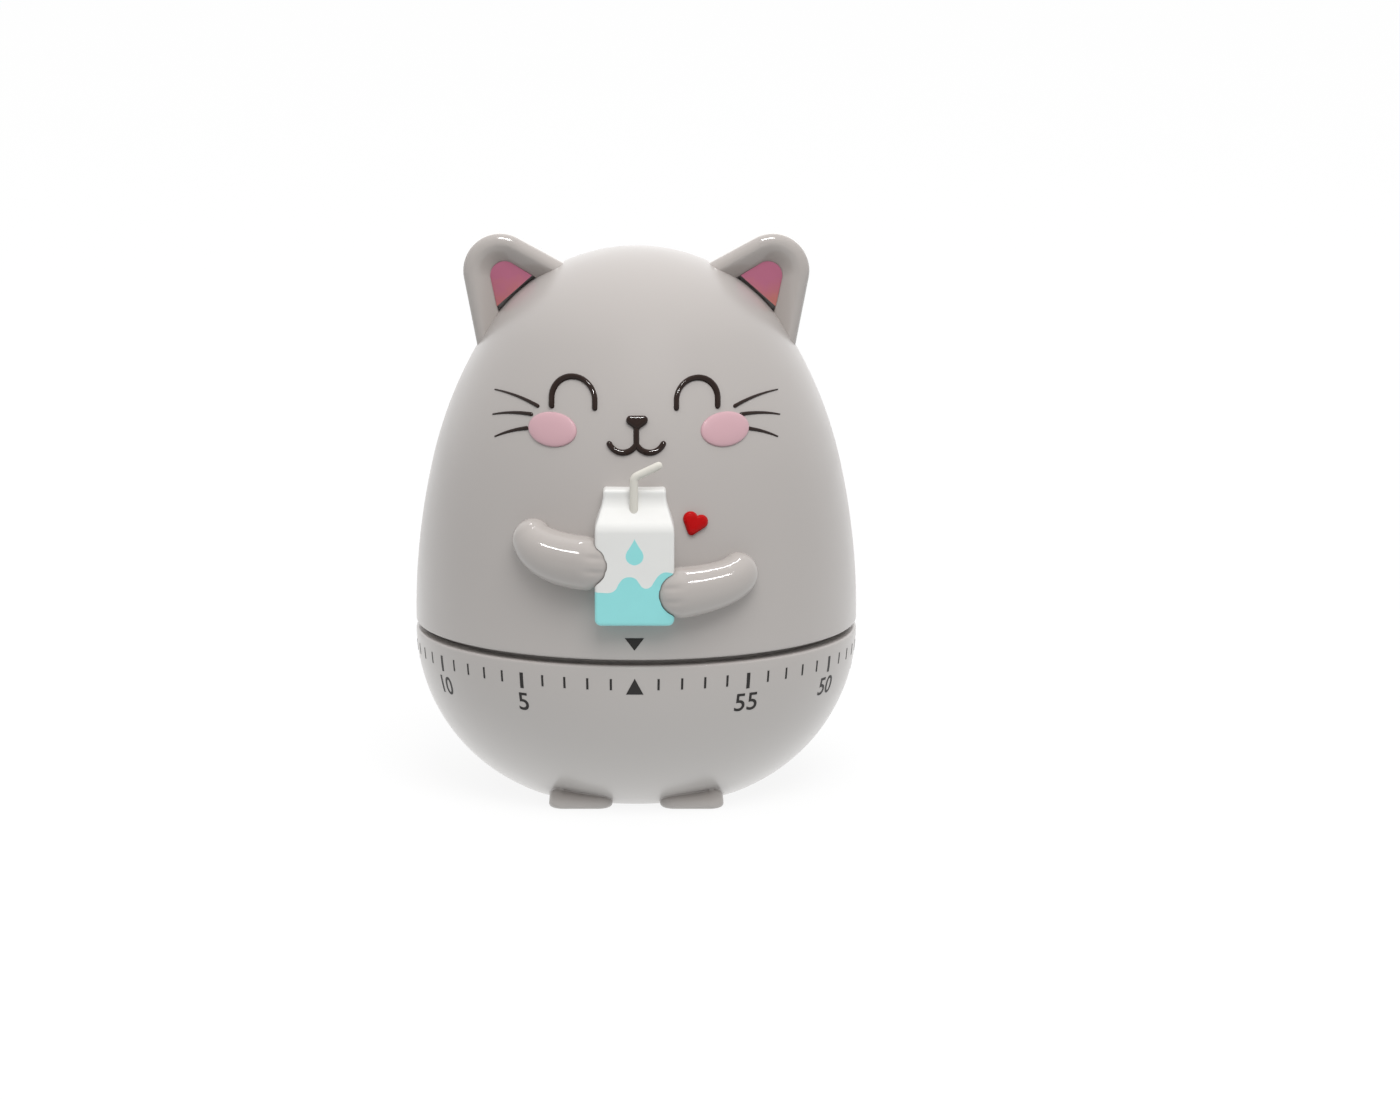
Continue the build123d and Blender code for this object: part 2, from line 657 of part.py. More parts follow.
def line_angle(start, end):
    """Direction from one plan point to another, in degrees."""
    return degrees(atan2(end[1] - start[1], end[0] - start[0]))


def saw(teeth, tip_r, depth, first_at):
    """Saw-toothed outline whose steep faces look anticlockwise, the first at an angle."""
    points = []
    for tooth in range(teeth):
        angle = first_at + 360 * tooth / teeth
        points += [polar(tip_r, angle), polar(tip_r - depth, angle)]
    return make_face(Polyline(*reversed(points), close=True))


def arbor(at):
    """Plain arbor with pivots in both plates."""
    shaft = rod(ARBOR_R, PLATE_TOP_Z + END_SHAKE, UPPER_Z - END_SHAKE, at)
    return shaft + rod(PIVOT_R, PLATE_Z, UPPER_TOP_Z, at)


def wheel(at, z):
    """Train wheel with round openings, bored for its arbor."""
    blank = gear(WHEEL_TEETH, TRAIN_MODULE, WHEEL_T, 0)
    window_at = TRAIN_MODULE * WHEEL_TEETH / 4 + ARBOR_R
    for place in ring_of(range(0, 360, WINDOW_STEP), window_at):
        blank -= rod(window_at / WINDOW_SHARE, 0, WHEEL_T, place)
    return Pos(at[0], at[1], z) * (blank - rod(ARBOR_R, 0, WHEEL_T))


SECOND_LEAF = meshed(SECOND_AT, MAIN_TEETH, 0)
THIRD_LEAF = meshed(line_angle(SECOND, THIRD), WHEEL_TEETH, 0)
ESCAPE_LEAF = meshed(line_angle(THIRD, ESCAPE), WHEEL_TEETH, 0)


def pinion(at, module, wheel_z, wheel_t, leaf_at):
    """Arbor with a pinion cut on it, a little taller than the wheel that it meshes with."""
    leaves = gear(LEAVES, module, wheel_t + 2 * PINION_MARGIN, leaf_at)
    return arbor(at) + Pos(at[0], at[1], wheel_z - PINION_MARGIN) * leaves


def train_plate(z):
    """Plate of the movement with the pivot and pillar holes that both plates share."""
    disc = rod(PLATE_R, z, z + PLATE_T)
    for at in (SECOND, THIRD, ESCAPE, BALANCE):
        disc -= rod(PIVOT_R + PIVOT_GAP, z, z + PLATE_T, at)
    for at in ring_of(PILLAR_ANGLES, SUPPORT_R):
        disc -= rod(PILLAR_STUB_R + HOLE_GAP, z, z + PLATE_T, at)
    return disc


def lower_plate():
    """Plate over the bell, with the hammer's slot."""
    disc = train_plate(PLATE_Z) - rod(SHAFT_PIVOT_R + PIVOT_GAP, PLATE_Z, PLATE_TOP_Z)
    for at in ring_of(SCREW_ANGLES, SUPPORT_R):
        disc -= rod(SCREW_R + HOLE_GAP, PLATE_Z, PLATE_TOP_Z, at)
    disc -= rod(STUD_R + HOLE_GAP, PLATE_Z, PLATE_TOP_Z, HAMMER)
    disc -= rod(SPRING_POST_R, PLATE_Z, PLATE_TOP_Z, (SPRING_POST_X, 0))
    room = HAMMER_STEM_R + RUN_GAP
    lifted = turn_about(STEM, HAMMER, -HAMMER_SWING)
    return disc - plate(hull((*STEM, room), (*lifted, room)), PLATE_Z, PLATE_T)


def upper_plate():
    """Plate over the train, bored for the shaft's bush."""
    return train_plate(UPPER_Z) - rod(BUSH_R - BUSH_RISE, UPPER_Z, UPPER_TOP_Z)


def arbor_bush():
    """Flanged bush of the main arbor."""
    bush = rod(BUSH_R - BUSH_RISE, UPPER_Z, UPPER_TOP_Z)
    bush += rod(BUSH_R, UPPER_TOP_Z, UPPER_TOP_Z + BUSH_RISE)
    return bush - rod(SHAFT_R + PIVOT_GAP, UPPER_Z, UPPER_TOP_Z + BUSH_RISE)


def plate_pillars():
    """Three pillars with a stub through each plate."""
    pillars = Part()
    for at in ring_of(PILLAR_ANGLES, SUPPORT_R):
        pillars += rod(PILLAR_R, PLATE_TOP_Z, UPPER_Z, at)
        pillars += rod(PILLAR_STUB_R, PLATE_Z, UPPER_TOP_Z + NUT_H, at)
    return pillars


def pillar_nuts():
    """Three hexagon nuts on top of the pillars."""
    nuts = Part()
    for at in ring_of(PILLAR_ANGLES, SUPPORT_R):
        nut = plate(RegularPolygon(NUT_R, 6), UPPER_TOP_Z, NUT_H, at)
        nuts += nut - rod(PILLAR_STUB_R, UPPER_TOP_Z, UPPER_TOP_Z + NUT_H, at)
    return nuts


def screws(places, seat, up):
    """Round-headed screws whose heads sit on a face and whose shanks go up or down from it."""
    group = Part()
    for at in places:
        sign = 1 if up else -1
        shank = sorted((seat, seat + sign * (SCREW_LENGTH - HOLE_GAP)))
        head = sorted((seat, seat - sign * SCREW_HEAD_H))
        screw = rod(SCREW_R, *shank, at) + rod(SCREW_HEAD_R, *head, at)
        drive = head[0] if up else head[1] - SCREW_HEAD_H / 2
        slot = Rectangle(2 * SCREW_HEAD_R, SCREW_HEAD_R / 3)
        group += screw - plate(slot, drive, SCREW_HEAD_H / 2, at)
    return group


def bell():
    """Domed bell, open below."""
    dome = Pos(0, 0, BELL_CENTRE_Z) * (Sphere(BELL_SPHERE_R) - Sphere(BELL_SPHERE_R - BELL_T))
    dome &= rod(BELL_SPHERE_R, BELL_RIM_Z, BELL_TOP_Z)
    return dome - rod(SCREW_R + HOLE_GAP, BELL_RIM_Z, BELL_TOP_Z)


def bell_post():
    """Short post between the bell and the lower plate."""
    post = rod(BELL_POST_R, BELL_TOP_Z - BELL_T, PLATE_Z)
    post -= Pos(0, 0, BELL_CENTRE_Z) * Sphere(BELL_SPHERE_R)
    return post - rod(SCREW_R + HOLE_GAP, BELL_TOP_Z - BELL_T, PLATE_Z)


def bell_screw():
    """Screw that holds the bell on its post from below."""
    inside = Pos(0, 0, BELL_CENTRE_Z) * Sphere(BELL_SPHERE_R - BELL_T)
    top = BELL_TOP_Z - BELL_T
    head = rod(SCREW_HEAD_R, top - SCREW_HEAD_H, top) & inside
    return head + rod(SCREW_R, top - SCREW_HEAD_H, PLATE_Z)


def main_arbor():
    """Setting shaft: pivot below, collar for the main wheel, D flat in the hub."""
    shaft = rod(SHAFT_PIVOT_R, PLATE_Z, HAMMER_Z) + rod(SHAFT_R, PLATE_TOP_Z + END_SHAKE, POST_Z)
    shaft += rod(COLLAR_R, COLLAR_Z, COLLAR_Z + COLLAR_T)
    return shaft - shaft_flat(0)


def shaft_flat(gap):
    """Space beside the D flat, from the hub's foot upwards."""
    depth = SHAFT_FLAT - gap
    height = POST_Z - HUB_Z
    block = Box(4 * SHAFT_R, depth + SHAFT_R, height, align=(Align.CENTER, Align.MIN, Align.MIN))
    return Pos(0, SHAFT_R - depth, HUB_Z) * block


def drive_plate():
    """Round plate with a hub that takes the shaft's D flat."""
    body = rod(HUB_R, HUB_Z, POST_Z) + rod(DRIVE_R, DRIVE_Z, POST_Z)
    bore = rod(SHAFT_R + PIVOT_GAP, HUB_Z, POST_Z) - shaft_flat(PIVOT_GAP)
    for at in ring_of(POST_ANGLES, POST_AT_R):
        body -= rod(SCREW_R + HOLE_GAP, DRIVE_Z, POST_Z, at)
    window = (HUB_R + POST_AT_R) / 2
    for angle in POST_ANGLES:
        body -= rod((POST_AT_R - HUB_R) / WINDOW_SHARE, DRIVE_Z, POST_Z, polar(window, angle + 60))
    return body - bore


def strike_cam():
    """Round cam with one notch for the hammer's nose at zero."""
    disc = Circle(CAM_R) - Circle(SHAFT_R)
    notch = Pos(*polar(CAM_R, HAMMER_AT)) * Circle(CAM_NOTCH)
    return plate(disc - notch, HAMMER_Z, HAMMER_T)


def mainspring():
    """Flat spiral spring of half circles, hooked on its post by an eye."""
    edges = []
    for side in (-1, 1):
        for half in range(2 * SPRING_TURNS):
            radius = SPRING_INNER_R + SPRING_T / 2 + half * SPRING_PITCH / 2 + side * SPRING_T / 2
            centre = ((half % 2) * SPRING_PITCH / 2, 0)
            edges.append(CenterArc(centre, radius, 180 * (half % 2), 180))
    ends = [SPRING_INNER_R, SPRING_INNER_R + SPRING_TURNS * SPRING_PITCH]
    edges += [Line((x, 0), (x + SPRING_T, 0)) for x in ends]
    strip = make_face(edges)
    eye = Pos(SPRING_POST_X, 0) * (Circle(SPRING_EYE_R) - Circle(SPRING_EYE_R - SPRING_T))
    return plate(strip + eye, SPRING_Z, SPRING_H)


def ratchet_wheel():
    """Saw-toothed wheel on the arbor, above the main wheel."""
    return plate(saw(RATCHET_TEETH, RATCHET_R, RATCHET_DEPTH, 0) - Circle(SHAFT_R), RATCHET_Z, RATCHET_T)


CLICK_PIVOT = polar(CLICK_PIVOT_R, CLICK_ARM_ANGLE)
CLICK_NOSE = polar(RATCHET_R - RATCHET_DEPTH + 2 * CLICK_NOSE_R, CLICK_NOSE_ANGLE)


def click():
    """Pawl with a round nose between two ratchet teeth."""
    outline = hull((*CLICK_PIVOT, CLICK_ROUND_R), (*CLICK_NOSE, CLICK_NOSE_R))
    body = plate(outline, RATCHET_Z, RATCHET_T)
    return body - rod(CLICK_PIN_R + PIVOT_GAP, RATCHET_Z, RATCHET_Z + RATCHET_T, CLICK_PIVOT)


def click_rivet():
    """Headed rivet that the click turns on."""
    top = RATCHET_Z + RATCHET_T + PIVOT_GAP
    return rod(CLICK_PIN_R, MAIN_Z, top, CLICK_PIVOT) + rod(CLICK_ROUND_R, top, top + LAYER_GAP, CLICK_PIVOT)


def main_wheel():
    """Great wheel, loose on the arbor and driven through the click."""
    blank = gear(MAIN_TEETH, MAIN_MODULE, MAIN_WHEEL_T, 0)
    blank = Pos(0, 0, MAIN_Z) * (blank - rod(SHAFT_R + PIVOT_GAP, 0, MAIN_WHEEL_T))
    return blank - rod(CLICK_PIN_R, MAIN_Z, MAIN_Z + MAIN_WHEEL_T, CLICK_PIVOT)


def escape_wheel():
    """Saw-toothed escape wheel."""
    outline = saw(ESCAPE_TEETH, ESCAPE_R, ESCAPE_DEPTH, 0) - Circle(ARBOR_R)
    return plate(outline, SECOND_Z, WHEEL_T, ESCAPE)


def balance_wheel():
    """Balance rim with one crossbar."""
    rim = Circle(BALANCE_R) - Circle(BALANCE_R - BALANCE_RIM)
    bar = Rectangle(2 * BALANCE_R - BALANCE_RIM, BALANCE_BAR) + Circle(BALANCE_BAR)
    return plate(rim + bar - Circle(ARBOR_R), THIRD_Z, BALANCE_T, BALANCE)


def pallet_lever():
    """Lever with two upright pins beside the escape wheel's teeth."""
    towards = line_angle(BALANCE, ESCAPE)
    pins = [polar(PALLET_PIN_AT, towards + side * PALLET_SPREAD) for side in (-1, 1)]
    arms = Circle(PALLET_HUB_R)
    for at in pins:
        arms += hull((0, 0, PALLET_HUB_R / 2), (*at, 2 * PALLET_PIN_R))
    body = plate(arms - Circle(ARBOR_R), PALLET_Z, PALLET_T, BALANCE)
    for x, y in pins:
        body += rod(PALLET_PIN_R, PALLET_Z, SECOND_Z + WHEEL_T, (BALANCE[0] + x, BALANCE[1] + y))
    return body


def hammer_stud():
    """Stud in the lower plate that the hammer turns on."""
    stud = rod(STUD_R, PLATE_Z, PLATE_TOP_Z + STUD_RISE, HAMMER)
    return stud + rod(STUD_COLLAR_R, PLATE_TOP_Z, PLATE_TOP_Z + STUD_COLLAR_H, HAMMER)


def hammer_lever():
    """Lever with a nose at the cam and a stem that hangs down to the bell."""
    nose = polar(CAM_R + HAMMER_GAP + HAMMER_NOSE_R, HAMMER_AT)
    hub = (*HAMMER, HAMMER_HUB_R)
    outline = hull(hub, (*nose, HAMMER_NOSE_R)) + hull(hub, (*STEM, HAMMER_STEM_R))
    body = plate(outline, HAMMER_Z, HAMMER_T) + rod(HAMMER_STEM_R, HAMMER_HEAD_Z, HAMMER_Z, STEM)
    return body - rod(STUD_R + PIVOT_GAP, HAMMER_Z, HAMMER_Z + HAMMER_T, HAMMER)


def hammer_head():
    """Round weight pressed on the stem."""
    body = rod(HAMMER_HEAD_R, HAMMER_HEAD_Z, HAMMER_HEAD_Z + HAMMER_HEAD_H, STEM)
    return body - rod(HAMMER_STEM_R, HAMMER_HEAD_Z, HAMMER_HEAD_Z + HAMMER_HEAD_H, STEM)


def hammer_spring():
    """Coil spring round the stud, on top of the hammer."""
    coil_r = STUD_R + PIVOT_GAP + 2 * COIL_WIRE_R
    foot = HAMMER_Z + HAMMER_T + COIL_WIRE_R + PIVOT_GAP
    path = Helix(3 * COIL_WIRE_R, 3 * COIL_WIRE_R * COIL_TURNS, coil_r, center=(*HAMMER, foot))
    return sweep(Plane(path @ 0, z_dir=path % 0) * Circle(COIL_WIRE_R), path, is_frenet=True)


def build():
    """All nodes by name."""
    arms = {"arm_left": arm(ARM_LEFT), "arm_right": arm(ARM_RIGHT)}
    box = carton(arms.values())
    right_ear, right_lining = ear()
    holes = [ear_peg(PEG_R + PEG_GAP), carton_pegs(PEG_R + PEG_GAP)]
    holes += [mirror(holes[0], Plane.YZ)]
    holes += [arm_peg(points, PEG_R + PEG_GAP) for points in (ARM_LEFT, ARM_RIGHT)]
    return {
        "base_shell": base_shell(),
        "head_shell": head_shell(holes),
        "ear_right": right_ear,
        "ear_left": mirror(right_ear, Plane.YZ),
        "ear_lining_right": right_lining,
        "ear_lining_left": mirror(right_lining, Plane.YZ),
        "eyes": eyes(),
        "nose_and_mouth": nose_and_mouth(),
        "whiskers": whiskers(),
        "cheeks": cheeks(),
        "heart": heart(),
        "arm_left": arms["arm_left"] + arm_peg(ARM_LEFT, PEG_R),
        "arm_right": arms["arm_right"] + arm_peg(ARM_RIGHT, PEG_R),
        "carton": box + carton_pegs(PEG_R),
        "straw": straw(box),
        "drive_plate": drive_plate(),
        "drive_screws": screws(ring_of(POST_ANGLES, POST_AT_R), DRIVE_Z, True),
        "main_arbor": main_arbor(),
        "strike_cam": strike_cam(),
        "ratchet_wheel": ratchet_wheel(),
        "main_wheel": main_wheel(),
        "click_rivet": click_rivet(),
        "click": click(),
        "mainspring": mainspring(),
        "spring_post": rod(SPRING_POST_R, PLATE_Z, SPRING_Z + SPRING_H, (SPRING_POST_X, 0)),
        "lower_plate": lower_plate(),
        "upper_plate": upper_plate(),
        "arbor_bush": arbor_bush(),
        "plate_pillars": plate_pillars(),
        "pillar_nuts": pillar_nuts(),
        "movement_screws": screws(ring_of(SCREW_ANGLES, SUPPORT_R), PLATE_TOP_Z, False),
        "second_pinion": pinion(SECOND, MAIN_MODULE, MAIN_Z, MAIN_WHEEL_T, SECOND_LEAF),
        "second_wheel": wheel(SECOND, SECOND_Z),
        "third_pinion": pinion(THIRD, TRAIN_MODULE, SECOND_Z, WHEEL_T, THIRD_LEAF),
        "third_wheel": wheel(THIRD, THIRD_Z),
        "escape_pinion": pinion(ESCAPE, TRAIN_MODULE, THIRD_Z, WHEEL_T, ESCAPE_LEAF),
        "escape_wheel": escape_wheel(),
        "balance_staff": arbor(BALANCE),
        "balance_wheel": balance_wheel(),
        "pallet_lever": pallet_lever(),
        "hammer_stud": hammer_stud(),
        "hammer_lever": hammer_lever(),
        "hammer_head": hammer_head(),
        "hammer_spring": hammer_spring(),
        "bell": bell(),
        "bell_post": bell_post(),
        "bell_screw": bell_screw(),
    }


os.makedirs("parts", exist_ok=True)
for name, shape in build().items():
    export_step(shape, os.path.join("parts", name + ".step"))
print("balance at", BALANCE, "second", SECOND, "third", THIRD, "escape", ESCAPE)
print("hammer at", HAMMER, "click at", CLICK_PIVOT, "crown", CROWN_R, CROWN_Z)
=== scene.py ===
# %% [markdown]
# # A clockwork kitchen timer in the shape of a sitting cat
#
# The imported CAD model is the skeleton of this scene: two plastic shells with a clockwork movement
# between them, and the ears, arms, face and drinks carton of the cat. CAD solids have exact sizes but
# hard edges and no finish. So each outside piece is modelled again here, in the same place, and the
# CAD solid behind it is hidden. The movement keeps its CAD shapes and gets metal finishes.

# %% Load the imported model
import json
from math import acos, asin, atan2, cos, degrees, exp, pi, radians, sin, sqrt

import bmesh
import bpy
from mathutils import Matrix, Vector


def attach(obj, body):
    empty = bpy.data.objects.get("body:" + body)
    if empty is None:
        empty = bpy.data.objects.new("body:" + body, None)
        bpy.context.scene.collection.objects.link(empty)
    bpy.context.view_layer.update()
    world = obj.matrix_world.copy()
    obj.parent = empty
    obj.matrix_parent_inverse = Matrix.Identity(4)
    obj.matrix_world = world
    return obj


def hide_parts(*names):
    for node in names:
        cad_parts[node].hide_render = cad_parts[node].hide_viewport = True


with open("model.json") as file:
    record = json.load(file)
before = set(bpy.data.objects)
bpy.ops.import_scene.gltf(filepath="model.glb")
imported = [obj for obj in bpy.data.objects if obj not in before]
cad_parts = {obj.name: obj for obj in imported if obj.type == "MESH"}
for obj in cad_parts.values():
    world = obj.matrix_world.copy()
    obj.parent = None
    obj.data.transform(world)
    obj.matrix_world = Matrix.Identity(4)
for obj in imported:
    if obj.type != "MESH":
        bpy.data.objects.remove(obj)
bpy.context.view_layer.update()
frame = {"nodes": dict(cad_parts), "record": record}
MM = 0.001
scene = bpy.context.scene

# %% [markdown]
# ## Camera
#
# The photograph is taken from straight in front and a little above, from about nine heights away.
# A long lens gives that flat look. The object stands left of the middle of the picture, and the
# lens shift puts it there without turning the camera, so upright lines stay upright.

# %% Camera
PHOTO_W, PHOTO_H = 1400, 1100
FOCAL_PX = 4950
OBJECT_AT = (636.3, 519.7)
TARGET = Vector((0, 0, 38.84)) * MM
DISTANCE = 730 * MM
ELEVATION = radians(10.0)
SENSOR_MM, NEAR_CLIP = 36, 10 * MM

camera = bpy.data.cameras.new("camera")
camera.sensor_width = SENSOR_MM
camera.lens = FOCAL_PX / PHOTO_W * camera.sensor_width
camera.shift_x = (PHOTO_W / 2 - OBJECT_AT[0]) / PHOTO_W
camera.shift_y = (OBJECT_AT[1] - PHOTO_H / 2) / PHOTO_W
camera.clip_start = NEAR_CLIP
camera_object = bpy.data.objects.new("camera", camera)
camera_object.location = TARGET + Vector((0, -cos(ELEVATION), sin(ELEVATION))) * DISTANCE
camera_object.rotation_euler = (radians(90) - ELEVATION, 0, 0)
scene.collection.objects.link(camera_object)
scene.camera = camera_object
scene.view_settings.view_transform = "Standard"
print("lens in mm:", round(camera.lens, 1))

# %% [markdown]
# ## Node helper
#
# A finish or a light in Blender is a small network of nodes. Adding a node, setting its values and
# plugging in its links takes many lines by hand, so one helper does all three. Every network below
# is built with it.


# %% Node helper
def add_node(tree, kind, inputs=None, **settings):
    """New shader node with its settings, and with each input set to a value or linked to a socket."""
    made = tree.nodes.new(kind)
    for key, value in settings.items():
        setattr(made, key, value)
    for key, value in (inputs or {}).items():
        if isinstance(value, bpy.types.NodeSocket):
            tree.links.new(value, made.inputs[key])
        else:
            made.inputs[key].default_value = value
    return made


print("node helper:", add_node.__name__)

# %% [markdown]
# ## Light tent
#
# Glossy grey plastic shows its surroundings, so the studio matters as much as the paint. The real one
# stood in a white light tent, with white on every side. A ring of lamps could copy that, but a world
# that grows brighter upwards is smoother and quicker. Light Path nodes let the camera see plain white
# and the reflections see a backdrop brighter than white, while the light that falls on the object
# stays at a normal level.


# %% Light tent
def seen_directly(tree):
    """1 for rays that come from the camera, a reflection or a clear material, and 0 for light."""
    path = add_node(tree, "ShaderNodeLightPath")
    rays = [path.outputs[name] for name in ("Is Camera Ray", "Is Glossy Ray", "Is Transmission Ray")]
    either = add_node(tree, "ShaderNodeMath", {0: rays[0], 1: rays[1]}, operation="MAXIMUM")
    return add_node(tree, "ShaderNodeMath", {0: either.outputs[0], 1: rays[2]}, operation="MAXIMUM").outputs[0]


WHITE = (1, 1, 1, 1)
SKY_HIGH, SKY_EVEN_FROM, SHINE_FRONT, SHINE_BACK = 1.25, 0.75, 1.0, 1.55
world = bpy.data.worlds.new("light_tent")
world.use_nodes = True
scene.world = world
tree = world.node_tree
tree.nodes.clear()
direction = add_node(tree, "ShaderNodeTexCoord").outputs["Generated"]
heading = add_node(tree, "ShaderNodeSeparateXYZ", {0: direction})
rise = {"Value": heading.outputs[2], "From Max": SKY_EVEN_FROM, "To Max": SKY_HIGH}
level = add_node(tree, "ShaderNodeMapRange", rise).outputs[0]
light = add_node(tree, "ShaderNodeBackground", {"Color": WHITE, "Strength": level})
glossy = add_node(tree, "ShaderNodeLightPath").outputs["Is Glossy Ray"]
depth = {"Value": heading.outputs[1], "From Min": -1.0, "To Min": SHINE_FRONT, "To Max": SHINE_BACK}
shine = add_node(tree, "ShaderNodeMapRange", depth).outputs[0]
seen = add_node(tree, "ShaderNodeMix", {0: glossy, 2: 1.0, 3: shine}).outputs[0]
backdrop = add_node(tree, "ShaderNodeBackground", {"Color": WHITE, "Strength": seen})
mix = add_node(
    tree, "ShaderNodeMixShader", {0: seen_directly(tree), 1: light.outputs[0], 2: backdrop.outputs[0]}
)
add_node(tree, "ShaderNodeOutputWorld", {"Surface": mix.outputs[0]})
print("light tent: sky up to", SKY_HIGH, "and reflections up to", SHINE_BACK)

# %% [markdown]
# ## Table
#
# The white table is brightest round the object and throws light up under the belly. A lamp below could
# do that, but it would shine through the table. So the table itself glows for rays of light, most near
# the middle, while the camera sees white paint with a faint shadow on it. From below it is clear, so
# that the underside can be looked at too.

# %% White table
TABLE_HALF_W, TABLE_CELLS, TABLE_DROP = 3.0, 60, 0.05
TABLE_DARK, TABLE_PALE, TABLE_GRAIN = 0.90, 0.93, 7.0
GLOW_SEEN, GLOW_SHINE, GLOW_NEAR, GLOW_FAR, NEAR_R, FAR_R = 0.85, 1.4, 1.12, 0.32, 0.05, 0.13
COOL_WHITE = (0.94, 0.985, 1.0, 1)

table_paint = bpy.data.materials.new("white_table")
table_paint.use_nodes = True
tree = table_paint.node_tree
tree.nodes.clear()
spot = add_node(tree, "ShaderNodeTexCoord").outputs["Object"]
grain = add_node(tree, "ShaderNodeTexNoise", {"Vector": spot, "Scale": TABLE_GRAIN, "Detail": 3.0})
tint = add_node(tree, "ShaderNodeValToRGB", {0: grain.outputs[0]})
for element, tone in zip(tint.color_ramp.elements, (TABLE_DARK, TABLE_PALE)):
    element.color = (tone, tone, tone, 1)
matt = add_node(tree, "ShaderNodeBsdfDiffuse", {"Color": tint.outputs[0]})
glossy = add_node(tree, "ShaderNodeLightPath").outputs["Is Glossy Ray"]
span = {"Value": glossy, "To Min": 1.0, "To Max": GLOW_SHINE}
seen_level = add_node(tree, "ShaderNodeMapRange", span).outputs[0]
glow = add_node(tree, "ShaderNodeEmission", {"Color": WHITE, "Strength": seen_level})
seen = add_node(tree, "ShaderNodeMixShader", {0: GLOW_SEEN, 1: matt.outputs[0], 2: glow.outputs[0]})
away = add_node(tree, "ShaderNodeVectorMath", {0: spot}, operation="LENGTH").outputs["Value"]
fall = {"Value": away, "From Min": NEAR_R, "From Max": FAR_R, "To Min": GLOW_NEAR, "To Max": GLOW_FAR}
bounce = add_node(tree, "ShaderNodeMapRange", fall, interpolation_type="SMOOTHSTEP").outputs[0]
cast = add_node(tree, "ShaderNodeEmission", {"Color": COOL_WHITE, "Strength": bounce})
top = add_node(tree, "ShaderNodeMixShader", {0: seen_directly(tree), 1: cast.outputs[0], 2: seen.outputs[0]})
below = add_node(tree, "ShaderNodeNewGeometry").outputs["Backfacing"]
clear = add_node(tree, "ShaderNodeBsdfTransparent")
mix = add_node(tree, "ShaderNodeMixShader", {0: below, 1: top.outputs[0], 2: clear.outputs[0]})
add_node(tree, "ShaderNodeOutputMaterial", {"Surface": mix.outputs[0]})

bm = bmesh.new()
bmesh.ops.create_grid(bm, x_segments=TABLE_CELLS, y_segments=TABLE_CELLS, size=TABLE_HALF_W)
bmesh.ops.translate(bm, vec=(0, 0, -TABLE_DROP * MM), verts=bm.verts[:])
table_mesh = bpy.data.meshes.new("table")
bm.to_mesh(table_mesh)
bm.free()
table_mesh.materials.append(table_paint)
table = bpy.data.objects.new("table", table_mesh)
scene.collection.objects.link(table)
print("table:", 2 * TABLE_HALF_W, "m wide")

# %% [markdown]
# ## Key lamp
#
# One soft lamp, above and a little to the right, gives the belly its gentle shading. A large square
# lamp is the usual way to get soft shadows. It is kept out of reflections, because the tent round the
# real object shows no square patch in them.


# %% Key lamp
def lamp(name, place, long, wide, power):
    """Rectangular lamp that faces the middle of the object."""
    data = bpy.data.lights.new(name, "AREA")
    data.shape = "RECTANGLE"
    data.size, data.size_y, data.energy = long, wide, power
    made = bpy.data.objects.new(name, data)
    made.location = place
    made.rotation_euler = (TARGET - Vector(place)).to_track_quat("-Z", "Y").to_euler()
    scene.collection.objects.link(made)
    return made


KEY_AT, KEY_SIZE, KEY_POWER = (0.13, -0.52, 0.74), 0.5, 4.0
key = lamp("key_lamp", KEY_AT, KEY_SIZE, KEY_SIZE, KEY_POWER)
key.visible_glossy = False
print("key lamp:", KEY_POWER, "W")

# %% [markdown]
# ## Finishes
#
# Moulded plastic is never one flat colour: it has a faint cloudiness from the way the melt flowed, a
# gloss that changes a little from place to place, and a skin that is not perfectly flat. Three noise
# textures on Object coordinates give these three things. Paint is the same idea with a finer skin.
# Stamped metal needs stretched noise instead, for its fine lines.


# %% Finish helpers
NOISE_LOW, NOISE_HIGH, COLOUR_DETAIL, SKIN_DETAIL = 0.3, 0.7, 3.0, 1.0
PLASTIC_IOR = 1.5


def new_finish(name, **sockets):
    """Material with a Principled shader whose constant values are set on its own sockets."""
    made = bpy.data.materials.new(name)
    made.use_nodes = True
    shader = made.node_tree.nodes["Principled BSDF"]
    for key, value in sockets.items():
        shader.inputs[key.replace("_", " ")].default_value = value
    return made, made.node_tree, shader


def noise(tree, scale, detail=2.0, stretch=(1, 1, 1)):
    """Noise on Object coordinates; scale is in features per metre."""
    coords = add_node(tree, "ShaderNodeTexCoord")
    mapping = add_node(tree, "ShaderNodeMapping", {"Vector": coords.outputs["Object"], "Scale": stretch})
    texture = {"Vector": mapping.outputs[0], "Scale": scale, "Detail": detail}
    return add_node(tree, "ShaderNodeTexNoise", texture).outputs[0]


def between(tree, factor, low, high):
    """A number that runs from low to high with a noise value."""
    span = {"Value": factor, "From Min": NOISE_LOW, "From Max": NOISE_HIGH, "To Min": low, "To Max": high}
    return add_node(tree, "ShaderNodeMapRange", span).outputs[0]


def two_tone(tree, factor, dark, pale):
    """A colour that runs from dark to pale with a noise value."""
    ramp = add_node(tree, "ShaderNodeValToRGB", {0: factor})
    stops = ((NOISE_LOW, dark), (NOISE_HIGH, pale))
    for element, (position, colour) in zip(ramp.color_ramp.elements, stops):
        element.position = position
        element.color = (*colour, 1)
    return ramp.outputs[0]


def shade(colour, share):
    """A colour with all its parts multiplied."""
    return tuple(part * share for part in colour)


